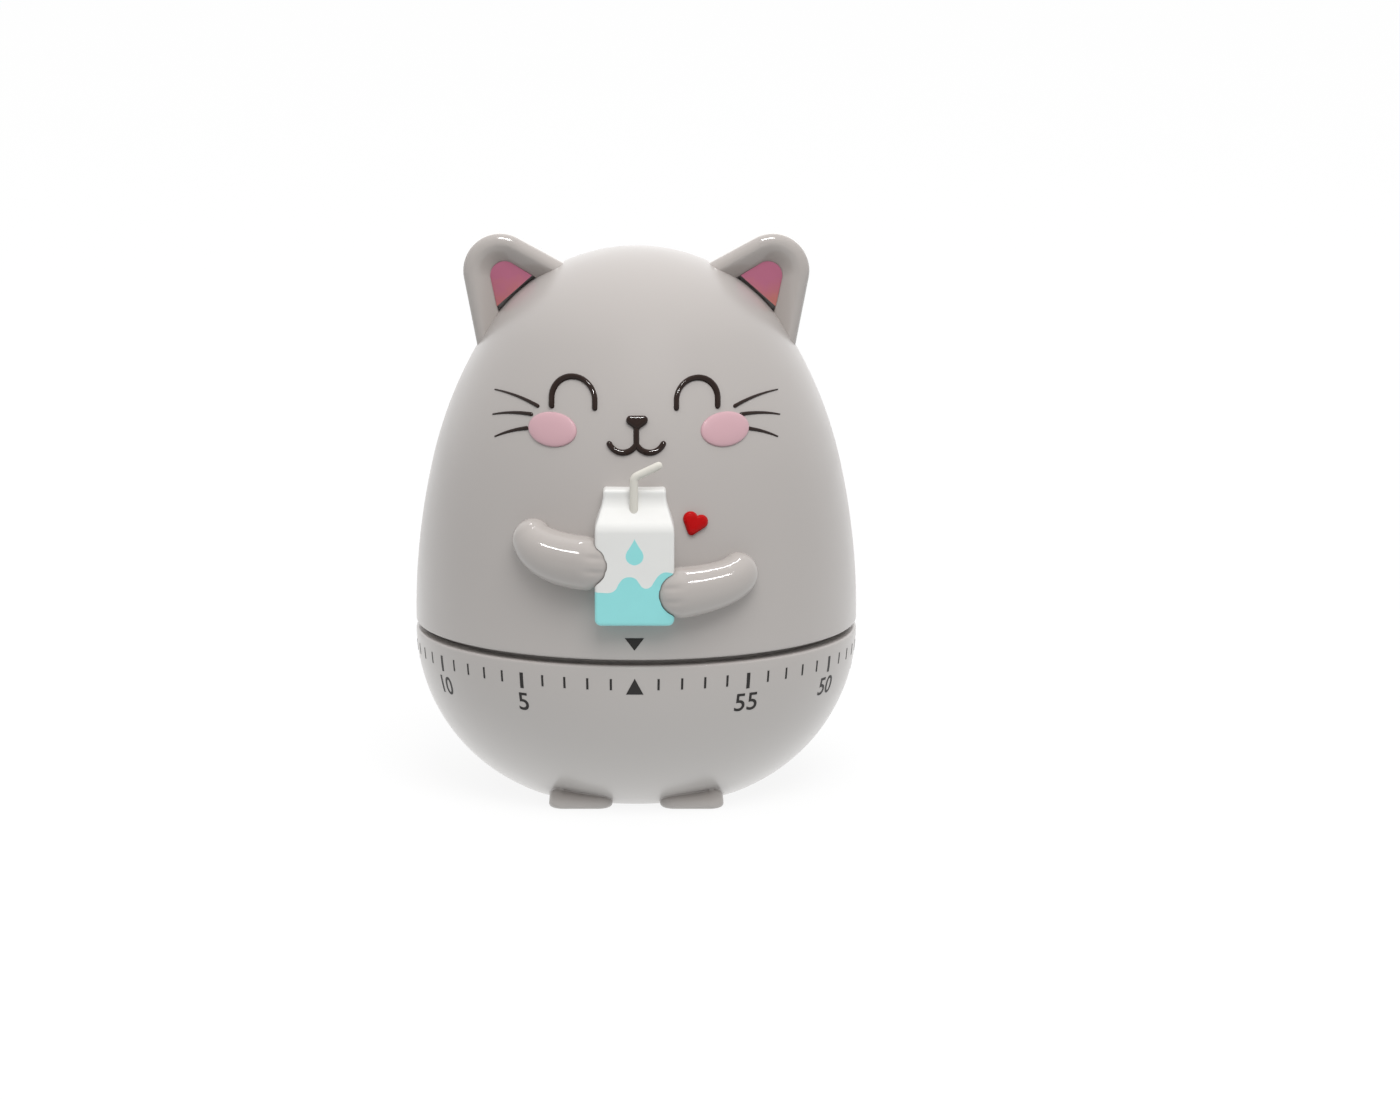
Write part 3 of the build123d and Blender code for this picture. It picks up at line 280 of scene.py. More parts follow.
def skin_bump(tree, shader, height, strength, depth):
    """Bump on a shader's normal; depth is in millimetres."""
    bump = {"Height": height, "Strength": strength, "Distance": depth * MM}
    tree.links.new(add_node(tree, "ShaderNodeBump", bump).outputs[0], shader.inputs["Normal"])


print("noise is read from", NOISE_LOW, "to", NOISE_HIGH)

# %% [markdown]
# Two recipes cover the whole timer. Plastic takes a colour and a roughness, and its gloss changes by only a
# few percent, because the polish of a mould is even. Metal takes the direction of its lines as well: a
# plate is rolled one way, a wheel is turned.

# %% Plastic and metal
GLOSS_LOW, GLOSS_HIGH = 0.94, 1.08
TARNISH_SCALE, TARNISH, LINE_LOW, LINE_HIGH, LINE_BUMP, LINE_DEPTH = 150.0, 0.86, 0.7, 1.3, 0.4, 0.004


def plastic(name, colour, rough, cloud=60.0, skin=420.0, depth=0.0015, spread=0.006, shine=0.5):
    """Moulded or painted plastic: cloudy colour, uneven gloss and a skin that is not quite flat."""
    made, tree, shader = new_finish(name, IOR=PLASTIC_IOR, Specular_IOR_Level=shine)
    clouds = noise(tree, cloud, COLOUR_DETAIL)
    tone = two_tone(tree, clouds, shade(colour, 1 - spread), shade(colour, 1 + spread))
    tree.links.new(tone, shader.inputs["Base Color"])
    gloss = between(tree, noise(tree, 3 * cloud), rough * GLOSS_LOW, rough * GLOSS_HIGH)
    tree.links.new(gloss, shader.inputs["Roughness"])
    skin_bump(tree, shader, noise(tree, skin, SKIN_DETAIL), 1.0, depth)
    return made


def metal(name, colour, rough, stretch=(1, 1, 1), lines=900.0):
    """Metal with stretched lines in its gloss and a little tarnish in its colour."""
    made, tree, shader = new_finish(name, Metallic=1.0)
    tone = two_tone(tree, noise(tree, TARNISH_SCALE, COLOUR_DETAIL), shade(colour, TARNISH), colour)
    tree.links.new(tone, shader.inputs["Base Color"])
    gloss = between(tree, noise(tree, lines, stretch=stretch), rough * LINE_LOW, rough * LINE_HIGH)
    tree.links.new(gloss, shader.inputs["Roughness"])
    skin_bump(tree, shader, noise(tree, lines, stretch=stretch), LINE_BUMP, LINE_DEPTH)
    return made


print("plastic gloss runs from", GLOSS_LOW, "to", GLOSS_HIGH, "of its value")

# %% [markdown]
# The shells are satin, and the ears and arms come out of a polished mould. The paws get a darker, duller copy
# of the shell grey, whose darkness is painted shade for the shadow under the bowl. Face, cheeks, heart and
# straw are paint over plastic, with finer noise on their small areas. The metals belong to the movement:
# brass wheels, plated plates, a nickel bell and blued springs.

# %% Finishes of this timer
PAINT = {"cloud": 300.0, "skin": 1500.0, "depth": 0.001}
FINE_PAINT = {**PAINT, "cloud": 400.0}
SHELL_GREY = (0.425, 0.395, 0.377)
polished_grey = plastic("polished_grey_plastic", (0.425, 0.39, 0.368), 0.09)
# The paws' grey is the shell grey made darker: painted shade for the shadow under the bowl.
paw_painted_shade_grey = plastic("paw_plastic_with_painted_shade", (0.345, 0.318, 0.302), 0.4)
FINISHES = {
    "shell_grey": plastic("glossy_grey_plastic", SHELL_GREY, 0.3),
    "blush_pink": plastic("blush_pink_paint", (0.56, 0.34, 0.375), 0.22, **PAINT),
    "face_brown": plastic("dark_brown_paint", (0.022, 0.011, 0.008), 0.08, **PAINT, shine=0.15),
    "heart_red": plastic("red_paint", (0.44, 0.001, 0.002), 0.2, **FINE_PAINT, shine=0.12),
    "straw_grey": plastic("straw_paint", (0.65, 0.625, 0.565), 0.3, **FINE_PAINT),
    "inner_plastic": plastic("inner_plastic", (0.62, 0.62, 0.60), 0.4, cloud=120.0, skin=900.0, depth=0.004),
    "steel": metal("turned_steel", (0.62, 0.62, 0.63), 0.3, (1, 1, 6)),
    "plated_steel": metal("plated_steel", (0.70, 0.70, 0.69), 0.34, (1, 8, 1)),
    "brass": metal("stamped_brass", (0.78, 0.57, 0.25), 0.3, (8, 1, 1)),
    "bell_steel": metal("nickel_plate", (0.74, 0.73, 0.70), 0.1, (1, 1, 4)),
    "spring_steel": metal("blued_spring_steel", (0.22, 0.25, 0.34), 0.26, (1, 1, 10)),
}
print("finishes:", ", ".join(FINISHES))

# %% [markdown]
# ## Drawing tools
#
# Everything below is drawn in millimetres and scaled once at the end. The outside of an egg is made
# of arcs, and the simplest way to draw an arc is a compass: spin a single vertex round a centre. The
# profile that comes out is spun again round the upright axis, and that makes the body.


# %% Drawing tools
MERGE, LOOSE, SHARP = 0.001, 0.0005, 38


def arc(bm, vert, centre, turn, steps):
    """Draw an arc by spinning one vertex about a centre in the XZ plane; turn is anticlockwise."""
    spun = bmesh.ops.spin(
        bm, geom=[vert], cent=(centre[0], vert.co.y, centre[1]), axis=(0, -1, 0),
        angle=radians(turn), steps=steps,
    )
    return next(part for part in spun["geom_last"] if isinstance(part, bmesh.types.BMVert))


def line(bm, vert, *points):
    """Draw straight lines in the XZ plane by extruding one vertex from point to point."""
    for x, z in points:
        vert = bmesh.ops.extrude_vert_indiv(bm, verts=[vert])["verts"][0]
        vert.co = (x, vert.co.y, z)
    return vert


def turned(bm, steps):
    """Spin the whole drawing once round the upright axis."""
    drawing = bm.verts[:] + bm.edges[:]
    bmesh.ops.spin(
        bm, geom=drawing, cent=(0, 0, 0), axis=(0, 0, 1), angle=2 * pi, steps=steps, use_merge=True
    )


print("drawing tools:", arc.__name__, line.__name__, turned.__name__)

# %% [markdown]
# A finished drawing still has to become a piece of the timer. That takes three steps, the same for all
# pieces: clean the mesh and make an object of it, cut other shapes out of it if need be, and give it a
# finish, the body that it moves with and the CAD node that it stands for.


# %% From drawing to piece
def settle(bm, name, sharp=SHARP):
    """Merge, turn the faces outwards, scale to metres and make an object with smooth shading."""
    bmesh.ops.remove_doubles(bm, verts=bm.verts[:], dist=MERGE)
    bmesh.ops.dissolve_degenerate(bm, edges=bm.edges[:], dist=LOOSE)
    bmesh.ops.recalc_face_normals(bm, faces=bm.faces[:])
    bmesh.ops.scale(bm, vec=(MM, MM, MM), verts=bm.verts[:])
    mesh = bpy.data.meshes.new(name)
    bm.to_mesh(mesh)
    bm.free()
    mesh.shade_smooth()
    mesh.set_sharp_from_angle(angle=radians(sharp))
    made = bpy.data.objects.new(name, mesh)
    scene.collection.objects.link(made)
    return made


def wear(made, body, slot, *nodes, finish=None):
    """Give a piece its finish, the body that it rides on and the CAD nodes that it stands for."""
    made.data.materials.clear()
    made.data.materials.append(finish or FINISHES[slot])
    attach(made, body)
    if nodes:
        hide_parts(*nodes)
    print(f"{made.name}: {len(made.data.polygons)} faces on {body}")
    return made


def carve(made, cutters, sharp=SHARP):
    """Cut other objects out of a piece, then throw the cutters away."""
    for cutter in cutters:
        cut = made.modifiers.new("cut", "BOOLEAN")
        cut.operation = "DIFFERENCE"
        cut.solver = "EXACT"
        cut.object = cutter
    graph = bpy.context.evaluated_depsgraph_get()
    mesh = bpy.data.meshes.new_from_object(made.evaluated_get(graph))
    made.modifiers.clear()
    made.data = mesh
    mesh.name = made.name
    mesh.set_sharp_from_angle(angle=radians(sharp))
    for cutter in cutters:
        bpy.data.objects.remove(cutter)


print("edges over", SHARP, "degrees stay sharp")

# %% [markdown]
# ## The two shells
#
# The two halves of the egg share one set of sizes. Only a few of them are free: the width, the height of
# the seam, and the radius and angle of each arc. The centres follow from the rule that neighbouring
# arcs have to run into each other smoothly, so they are worked out here and not typed in.

# %% Sizes of the shells
BELLY_R, WALL, RIM_ROUND = 32.5, 2.0, 0.4
SEAM_Z, SEAM_GAP, BAND, FLAT_R = 23.45, 0.8, 1.25, 17.5
SEAM_EASE = 0.05
RIM_Z = SEAM_Z + SEAM_GAP
WIDE_Z = RIM_Z + BAND
FLANK_R, FLANK_ANGLE = 100.0, 13.4
SHOULDER_R, SHOULDER_ANGLE = 61.0, 19.2
BEND_1 = radians(FLANK_ANGLE)
BEND_2 = radians(FLANK_ANGLE + SHOULDER_ANGLE)
CROWN_R = BELLY_R - FLANK_R * (1 - cos(BEND_1)) - SHOULDER_R * (cos(BEND_1) - cos(BEND_2))
CROWN_R /= cos(BEND_2)
SHOULDER_X = BELLY_R - FLANK_R + (FLANK_R - SHOULDER_R) * cos(BEND_1)
SHOULDER_Z = WIDE_Z + (FLANK_R - SHOULDER_R) * sin(BEND_1)
CROWN_Z = SHOULDER_Z + (SHOULDER_R - CROWN_R) * sin(BEND_2)
BOWL_R = ((BELLY_R - FLAT_R) ** 2 + SEAM_Z**2) / (2 * (BELLY_R - FLAT_R))
BOWL_X = BELLY_R - BOWL_R
ROUND_STEPS, FLANK_STEPS, CROWN_STEPS, BOWL_STEPS, INSIDE_STEPS, RIM_STEPS = 192, 16, 28, 48, 32, 6
print("egg top in mm:", round(CROWN_Z + CROWN_R, 2), "bowl radius:", round(BOWL_R, 2))

# %% [markdown]
# The head is the half that the hand turns. It is moulded as a thin egg that is open below, with three posts
# inside for screws. A sphere pushed into shape would never get the even curve of a mould, so it is
# drawn: an upright band, three arcs and the pole, and once more for the inside, one wall further in.


# %% Head shell
def egg_line(bm, vert):
    """Draw the side of the egg from the end of the band up to the pole."""
    vert = arc(bm, vert, (BELLY_R - FLANK_R, WIDE_Z), FLANK_ANGLE, FLANK_STEPS)
    vert = arc(bm, vert, (SHOULDER_X, SHOULDER_Z), SHOULDER_ANGLE, FLANK_STEPS)
    return arc(bm, vert, (0, CROWN_Z), 90 - FLANK_ANGLE - SHOULDER_ANGLE, CROWN_STEPS)


POST_AT_R, POST_R, POST_Z, POST_TOP, POST_SIDES = 18.0, 2.3, 45.0, 69.0, 32
POST_ANGLES = (90, 210, 330)

bm = bmesh.new()
rim_z = RIM_Z + SEAM_EASE
rim = bm.verts.new((BELLY_R - RIM_ROUND, 0, rim_z))
outside = arc(bm, rim, (BELLY_R - RIM_ROUND, rim_z + RIM_ROUND), 90, RIM_STEPS)
egg_line(bm, line(bm, outside, (BELLY_R, WIDE_Z)))
egg_line(bm, line(bm, rim, (BELLY_R - WALL, rim_z), (BELLY_R - WALL, WIDE_Z)))
turned(bm, ROUND_STEPS)
for angle in POST_ANGLES:
    middle = Matrix.Translation((POST_AT_R, 0, (POST_Z + POST_TOP) / 2))
    place = Matrix.Rotation(radians(angle), 4, "Z") @ middle
    bmesh.ops.create_cone(
        bm, cap_ends=True, segments=POST_SIDES, radius1=POST_R, radius2=POST_R, depth=POST_TOP - POST_Z,
        matrix=place,
    )
wear(settle(bm, "cat_head"), "head", "shell_grey", "head_shell")

# %% [markdown]
# The base is the bowl that stands on the table. It is turned from one drawing too: a flat floor, one arc,
# a rounded rim, and an inner lip that stands up behind the open seam so that nobody sees the movement.
# Eight slots in the floor let out the sound of the bell. They are not round, so they are cut afterwards.

# %% Base shell
LIP_R, LIP_T = 30.1, 1.2
LIP_TOP, LIP_SEAT, LIP_FOOT = SEAM_Z + 2.2, SEAM_Z - 0.4, SEAM_Z - 3.0
SLOT_COUNT, SLOT_L, SLOT_W, SLOT_AT_R, SLOT_SIDES = 8, 5.0, 1.4, 7.0, 24
FLOOR_SHARP = 20
ARC_FOOT = degrees(asin(SEAM_Z / BOWL_R))
ARC_HEAD = degrees(asin((RIM_ROUND + SEAM_EASE) / BOWL_R))
INNER_R = BOWL_R - WALL
INNER_FOOT = degrees(asin((SEAM_Z - WALL) / INNER_R))
INNER_HEAD = degrees(asin((SEAM_Z - LIP_FOOT) / INNER_R))

bm = bmesh.new()
vert = line(bm, bm.verts.new((0, 0, 0)), (FLAT_R, 0))
vert = arc(bm, vert, (BOWL_X, SEAM_Z), ARC_FOOT - ARC_HEAD, BOWL_STEPS)
rim_z = SEAM_Z - SEAM_EASE
vert = arc(bm, vert, (BELLY_R - RIM_ROUND, rim_z - RIM_ROUND), 90, RIM_STEPS)
vert = line(
    bm, vert, (BELLY_R - WALL, rim_z), (BELLY_R - WALL, LIP_SEAT), (LIP_R, LIP_SEAT), (LIP_R, LIP_TOP),
    (LIP_R - LIP_T, LIP_TOP), (LIP_R - LIP_T, LIP_FOOT),
    (BOWL_X + INNER_R * cos(radians(INNER_HEAD)), LIP_FOOT),
)
vert = arc(bm, vert, (BOWL_X, SEAM_Z), INNER_HEAD - INNER_FOOT, INSIDE_STEPS)
line(bm, vert, (0, WALL))
turned(bm, ROUND_STEPS)
bowl = settle(bm, "base_bowl")

bm = bmesh.new()
for number in range(SLOT_COUNT):
    slot = bmesh.ops.create_circle(bm, segments=SLOT_SIDES, radius=SLOT_W / 2, cap_ends=True)["verts"]
    far = [v for v in slot if v.co.x > MERGE]
    bmesh.ops.translate(bm, vec=(SLOT_L, 0, 0), verts=far)
    bmesh.ops.translate(bm, vec=(SLOT_AT_R - SLOT_L / 2, 0, -WALL), verts=slot)
    round_axis = Matrix.Rotation(2 * pi * number / SLOT_COUNT, 3, "Z")
    bmesh.ops.rotate(bm, cent=(0, 0, 0), matrix=round_axis, verts=slot)
grown = bmesh.ops.extrude_face_region(bm, geom=bm.faces[:])["geom"]
bmesh.ops.translate(bm, vec=(0, 0, 3 * WALL), verts=[g for g in grown if isinstance(g, bmesh.types.BMVert)])
carve(bowl, [settle(bm, "slot_cutter")], FLOOR_SHARP)
wear(bowl, "base", "shell_grey", "base_shell")

# %% [markdown]
# ## Front paws
#
# Two low paws stick out from under the bowl. Each starts as a rounded rectangle on the table. Its
# outline is extruded upwards: first with a small rounding, then leaning back like the top of a toe,
# and at last, where it meets the bowl, with a hollow moulded corner that runs out along the bowl. The
# soles sit a hair above the table, because two faces in one plane would fight where they overlap.

# %% Shape of the paws
FOOT_X, FOOT_Y, FOOT_HALF_W, FOOT_HALF_L, FOOT_CORNER = 8.05, -14.7, 4.6, 6.6, 2.2
FOOT_ROUND, FOOT_LEAN, FOOT_SIDE_LEAN, FOOT_RISE, FOOT_FILLET = 0.5, 4.5, 1.6, 2.2, 0.3


def bowl_height(spot):
    """Height of the bowl's outside over a point of the table."""
    reach = max(spot.xy.length, FLAT_R) - BOWL_X
    return SEAM_Z - sqrt(BOWL_R**2 - reach**2)


def extrude_ring(bm, ring):
    """Extrude a closed ring of edges and return the new ring."""
    grown = bmesh.ops.extrude_edge_only(bm, edges=ring)["geom"]
    fresh = {g for g in grown if isinstance(g, bmesh.types.BMVert)}
    return [g for g in grown if isinstance(g, bmesh.types.BMEdge) and set(g.verts) <= fresh]


def ring_verts(ring):
    """Vertices of a ring of edges, each once."""
    return list({vert for edge in ring for vert in edge.verts})


print("paws reach", round(FOOT_HALF_L - FOOT_Y, 2), "mm to the front")

# %% [markdown]
# How a paw rises depends on the place along its outline: the front leans back far, the sides a little,
# and each point has to stop where it meets the bowl. So one function gives the whole way up for a
# point of the outline.

# %% The way up a paw
PAW_ROUND_STEP, PAW_TOE_STEPS, PAW_FILLET_STEPS, PAW_LEVELS, PAW_TUCK = 15, 8, 8, 15, 0.5


def paw_side(plan):
    """Points up the side of a paw over one point of its outline, from the table into the bowl."""
    inner = Vector((FOOT_HALF_W - FOOT_CORNER, FOOT_HALF_L - FOOT_CORNER, 0))
    core = Vector([max(-limit, min(limit, part)) for part, limit in zip(plan, inner)])
    out = (plan - core).normalized()
    foot = plan + Vector((FOOT_X, FOOT_Y, 0))
    lean = FOOT_SIDE_LEAN + (FOOT_LEAN - FOOT_SIDE_LEAN) * max(0, -out.y)

    def toe(t):
        return foot - out * lean * (1 - cos(t)) + Vector((0, 0, FOOT_ROUND + FOOT_RISE * sin(t)))

    def on_bowl(reach):
        spot = meet + out * reach
        return Vector((spot.x, spot.y, bowl_height(spot)))

    quarter = [radians(angle) for angle in range(0, 90, PAW_ROUND_STEP)]
    side = [foot + out * FOOT_ROUND * (sin(t) - 1) + Vector((0, 0, FOOT_ROUND * (1 - cos(t)))) for t in quarter]
    turns = [radians(angle) for angle in range(91)]
    last = next((t for t in turns if toe(t).z >= bowl_height(toe(t))), turns[-1])
    meet = toe(last)
    top = meet.lerp(toe(0), min(1, FOOT_FILLET / max((meet - toe(0)).length, FOOT_FILLET)))
    climb = [toe(last * step / PAW_TOE_STEPS) for step in range(PAW_TOE_STEPS + 1)]
    side += [point for point in climb if point.z <= top.z]
    side += [top] * (PAW_LEVELS - len(side))
    for step in range(PAW_FILLET_STEPS + 1):
        share = step / PAW_FILLET_STEPS
        side.append(top.lerp(meet, share).lerp(meet.lerp(on_bowl(FOOT_FILLET), share), share))
    return side + [on_bowl(FOOT_FILLET) - out + Vector((0, 0, PAW_TUCK))]


levels = len(paw_side(Vector((0, -FOOT_HALF_L, 0))))
print("levels in a paw:", levels)

# %% [markdown]
# The outline is extruded level by level along those ways. Its flat place is kept on each vertex, in a layer
# called plan. Extruding copies the layer, so each new ring knows over which point of the outline it
# stands. One paw is made and mirrored.

# %% Front paws
FOOT_CLEAR, LONG_EDGE, PAW_CUTS, PAW_CORNER_STEPS, PAW_SHARP = 0.03, 2, 12, 16, 70

bm = bmesh.new()
plan = bm.verts.layers.float_vector.new("plan")
corners = bmesh.ops.create_grid(bm, x_segments=1, y_segments=1, size=1)["verts"]
bmesh.ops.scale(bm, vec=(FOOT_HALF_W, FOOT_HALF_L, 1), verts=corners)
bmesh.ops.bevel(
    bm, geom=corners, offset=FOOT_CORNER, offset_type="OFFSET", segments=PAW_CORNER_STEPS, profile=0.5,
    affect="VERTICES", material=-1,
)
bmesh.ops.subdivide_edges(bm, edges=[e for e in bm.edges if e.calc_length() > LONG_EDGE], cuts=PAW_CUTS)
for vert in bm.verts:
    vert[plan] = vert.co
ring = bm.edges[:]
for level in range(levels):
    if level:
        ring = extrude_ring(bm, ring)
    for vert in ring_verts(ring):
        vert.co = paw_side(vert[plan])[level]
bmesh.ops.contextual_create(bm, geom=ring)
bmesh.ops.mirror(bm, geom=bm.verts[:] + bm.edges[:] + bm.faces[:], axis="X", merge_dist=-1)
bmesh.ops.translate(bm, vec=(0, 0, FOOT_CLEAR), verts=bm.verts[:])
# The darker paw grey is painted shade, for the shadow that the bowl casts on the paws.
wear(settle(bm, "front_paws", PAW_SHARP), "base", "shell_grey", finish=paw_painted_shade_grey)

# %% [markdown]
# ## Ears
#
# Seen from the front, an ear is an outline drawn tight round three circles: a large one at the tip
# and two at the root, inside the head. The rim rolls over to the front, slopes down into a hollow and
# there carries a pink lining, and from the side it gets thinner towards its tip. Every ring of the
# ear is an extruded copy of the first outline, in which each arc is scaled about its own circle and
# moved with it. That keeps the rim evenly wide, which scaling the whole outline would not.


# %% Outlines round circles
SMALLEST_R, ARC_STEPS, ROLL_STEP = 0.05, 24, 5


def tangent(first, second):
    """Direction, in degrees, of the outer line that touches two circles, taken anticlockwise."""
    across = second[0] - first[0]
    return degrees(atan2(across.z, across.x) - acos((first[1] - second[1]) / across.length))


def inset(circles, by):
    """The same circles, all smaller by one amount."""
    return [(centre, max(radius - by, SMALLEST_R)) for centre, radius in circles]


def part_way(circles, others, share):
    """Circles between two sets of circles."""
    return [(a[0].lerp(b[0], share), a[1] + (b[1] - a[1]) * share) for a, b in zip(circles, others)]


def hull_ring(bm, circles, y=0.0):
    """Draw the outline tight round some circles, and mark each vertex with its circle."""
    owner = bm.verts.layers.int.new("owner")
    ends = []
    for index, (centre, radius) in enumerate(circles):
        start = tangent(circles[index - 1], circles[index])
        sweep = (tangent(circles[index], circles[(index + 1) % len(circles)]) - start) % 360
        known = set(bm.verts)
        corner = (centre.x + radius * cos(radians(start)), y, centre.z + radius * sin(radians(start)))
        ends.append(bm.verts.new(corner))
        ends.append(arc(bm, ends[-1], (centre.x, centre.z), sweep, ARC_STEPS))
        for vert in set(bm.verts) - known:
            vert[owner] = index
    for index in range(1, len(ends), 2):
        bm.edges.new((ends[index], ends[(index + 1) % len(ends)]))
    return bm.edges[:], owner


print("steps in an arc of an outline:", ARC_STEPS)

# %% [markdown]
# The ring then travels through a list of stations. A station is a set of circles and a distance to the
# front, so a rolled rim, a slope and a hollow are all just rows in such a list.


# %% Rings through stations
def roll_ring(bm, ring, owner, stations):
    """Extrude an outline through stations of (circles, how far forward), and close the last one."""
    for (before, near), (after, far) in zip(stations, stations[1:]):
        ring = extrude_ring(bm, ring)
        verts = ring_verts(ring)
        for index, (old, new) in enumerate(zip(before, after)):
            mine = [vert for vert in verts if vert[owner] == index]
            share = new[1] / old[1]
            bmesh.ops.scale(bm, vec=(share, 1, share), space=Matrix.Translation(-old[0]), verts=mine)
            bmesh.ops.translate(bm, vec=new[0] - old[0], verts=mine)
        bmesh.ops.translate(bm, vec=(0, near - far, 0), verts=verts)
    bmesh.ops.contextual_create(bm, geom=ring)


def quarter_round(circles, radius, base, side=1):
    """Stations of an edge rolled over by a quarter turn; base is where the roll starts."""
    turns = [radians(angle) for angle in range(0, 91, ROLL_STEP)]
    return [(inset(circles, radius * (1 - cos(t))), side * (base + radius * sin(t))) for t in turns]


print("stations in a rolled edge:", 90 // ROLL_STEP + 1)

# %% [markdown]
# The real ears are moulded with the head, or glued into it: their roots vanish in the shell. So the two
# root circles lie under the surface. They are given by an angle from the vertical, as on a clock
# face, which makes it easy to lean an ear outwards without changing its shape.

# %% Shape of the ears
EAR_LEAN, EAR_STAND, EAR_TIP_R = 41.5, 4.1, 5.4
EAR_ROOT_R, EAR_ROOT_SINK, EAR_ROOT_OUT, EAR_ROOT_IN = 3.2, 4.2, 23.0, 15.1
EAR_SET, EAR_HALF_T, EAR_ROLL_FRONT, EAR_ROLL_BACK = 0.8, 3.5, 1.4, 2.9
EAR_SUNK_R = 6.5
HOLLOW_INSET, HOLLOW_TIP_R, HOLLOW_TIP_SINK = 4.15, 2.1, 1.0
HOLLOW_FRONT, HOLLOW_FLOOR = 1.7, -0.9
HOLLOW_STEPS, HOLLOW_EASE, HOLLOW_WALL = 12, 1.3, 0.05
EAR_SLIM, EAR_SHARP = 0.3, 60


def crown_point(angle, radius):
    """Front-view place at an angle from the vertical, about the centre of the crown."""
    return Vector((radius * sin(radians(angle)), 0, CROWN_Z + radius * cos(radians(angle))))


def sunk(circle, heading):
    """A larger root circle, moved away from the side it touches so that this side stays where it is."""
    way = Vector((cos(radians(heading)), 0, sin(radians(heading))))
    return circle[0] - way * (EAR_SUNK_R - circle[1]), EAR_SUNK_R


outer = (crown_point(EAR_LEAN + EAR_ROOT_OUT, CROWN_R - EAR_ROOT_SINK), EAR_ROOT_R)
tip = (crown_point(EAR_LEAN, CROWN_R + EAR_STAND), EAR_TIP_R)
inner = (crown_point(EAR_LEAN - EAR_ROOT_IN, CROWN_R - EAR_ROOT_SINK), EAR_ROOT_R)
EAR = [sunk(outer, tangent(outer, tip)), tip, sunk(inner, tangent(tip, inner))]
HOLLOW = inset(EAR, HOLLOW_INSET)
HOLLOW[1] = (crown_point(EAR_LEAN, CROWN_R + EAR_STAND - HOLLOW_TIP_SINK), HOLLOW_TIP_R)

CREST = inset(EAR, EAR_ROLL_FRONT)
ease = [step / HOLLOW_STEPS for step in range(1, HOLLOW_STEPS + 1)]
drop = EAR_HALF_T - HOLLOW_FRONT
ear_front = [(EAR, 0)] + quarter_round(EAR, EAR_ROLL_FRONT, EAR_HALF_T - EAR_ROLL_FRONT)
ear_front += [(part_way(CREST, HOLLOW, t), EAR_HALF_T - drop * t**HOLLOW_EASE) for t in ease]
ear_front += [(inset(HOLLOW, HOLLOW_WALL), HOLLOW_FLOOR)]
ear_back = [(EAR, 0)] + quarter_round(EAR, EAR_ROLL_BACK, EAR_HALF_T - EAR_ROLL_BACK, -1)
print("rings in an ear:", len(ear_front) + len(ear_back))

# %% [markdown]
# The lining is sprayed on by hand: it is more orange at its lower edge and more magenta at the tip. The
# height drives the colour, and a little noise breaks up the even change.

# %% Lining paint
LINING_LOW, LINING_HIGH = (0.46, 0.155, 0.135), (0.41, 0.125, 0.20)
LINING_FROM, LINING_TO, LINING_BLUR, LINING_SHINE = 68.0, 78.0, 0.12, 0.3
LINING_CLOUD, LINING_SKIN, LINING_GLOSS = 300.0, 500.0, (0.32, 0.42)

ear_pink, tree, shader = new_finish("ear_pink_paint", IOR=PLASTIC_IOR, Specular_IOR_Level=LINING_SHINE)
place = add_node(tree, "ShaderNodeTexCoord").outputs["Object"]
axes = add_node(tree, "ShaderNodeSeparateXYZ", {0: place})
span = {"Value": axes.outputs[2], "From Min": LINING_FROM * MM, "From Max": LINING_TO * MM}
height = add_node(tree, "ShaderNodeMapRange", span).outputs[0]
cloud = between(tree, noise(tree, LINING_CLOUD, COLOUR_DETAIL), -LINING_BLUR, LINING_BLUR)
mixed = add_node(tree, "ShaderNodeMath", {0: height, 1: cloud}, operation="ADD").outputs[0]
tree.links.new(two_tone(tree, mixed, LINING_LOW, LINING_HIGH), shader.inputs["Base Color"])
tree.links.new(between(tree, noise(tree, LINING_SKIN), *LINING_GLOSS), shader.inputs["Roughness"])
print("lining colour runs over", LINING_TO - LINING_FROM, "mm")

# %% [markdown]
# Both ears come from the same rings: the left one is the right one mirrored. A lining is a thin plate with
# the outline of the hollow, cut off straight a little above the head, which leaves a dark gap under it.

# %% Ears and linings
LINING_T, LINING_GAP, LINING_ROLL, LINING_BULGE = 0.7, 0.5, 0.25, 0.1
lining = [(HOLLOW, 0), (HOLLOW, LINING_T), (inset(HOLLOW, LINING_ROLL), LINING_T + LINING_BULGE)]
away = crown_point(EAR_LEAN, 1) - crown_point(EAR_LEAN, 0)


def slim(bm):
    """Make an ear thinner towards its tip."""
    for vert in bm.verts:
        out = Vector((vert.co.x, 0, vert.co.z - CROWN_Z)).length - CROWN_R
        share = min(max(out / (EAR_STAND + EAR_TIP_R), 0), 1)
        vert.co.y = EAR_SET + (vert.co.y - EAR_SET) * (1 - EAR_SLIM * share)


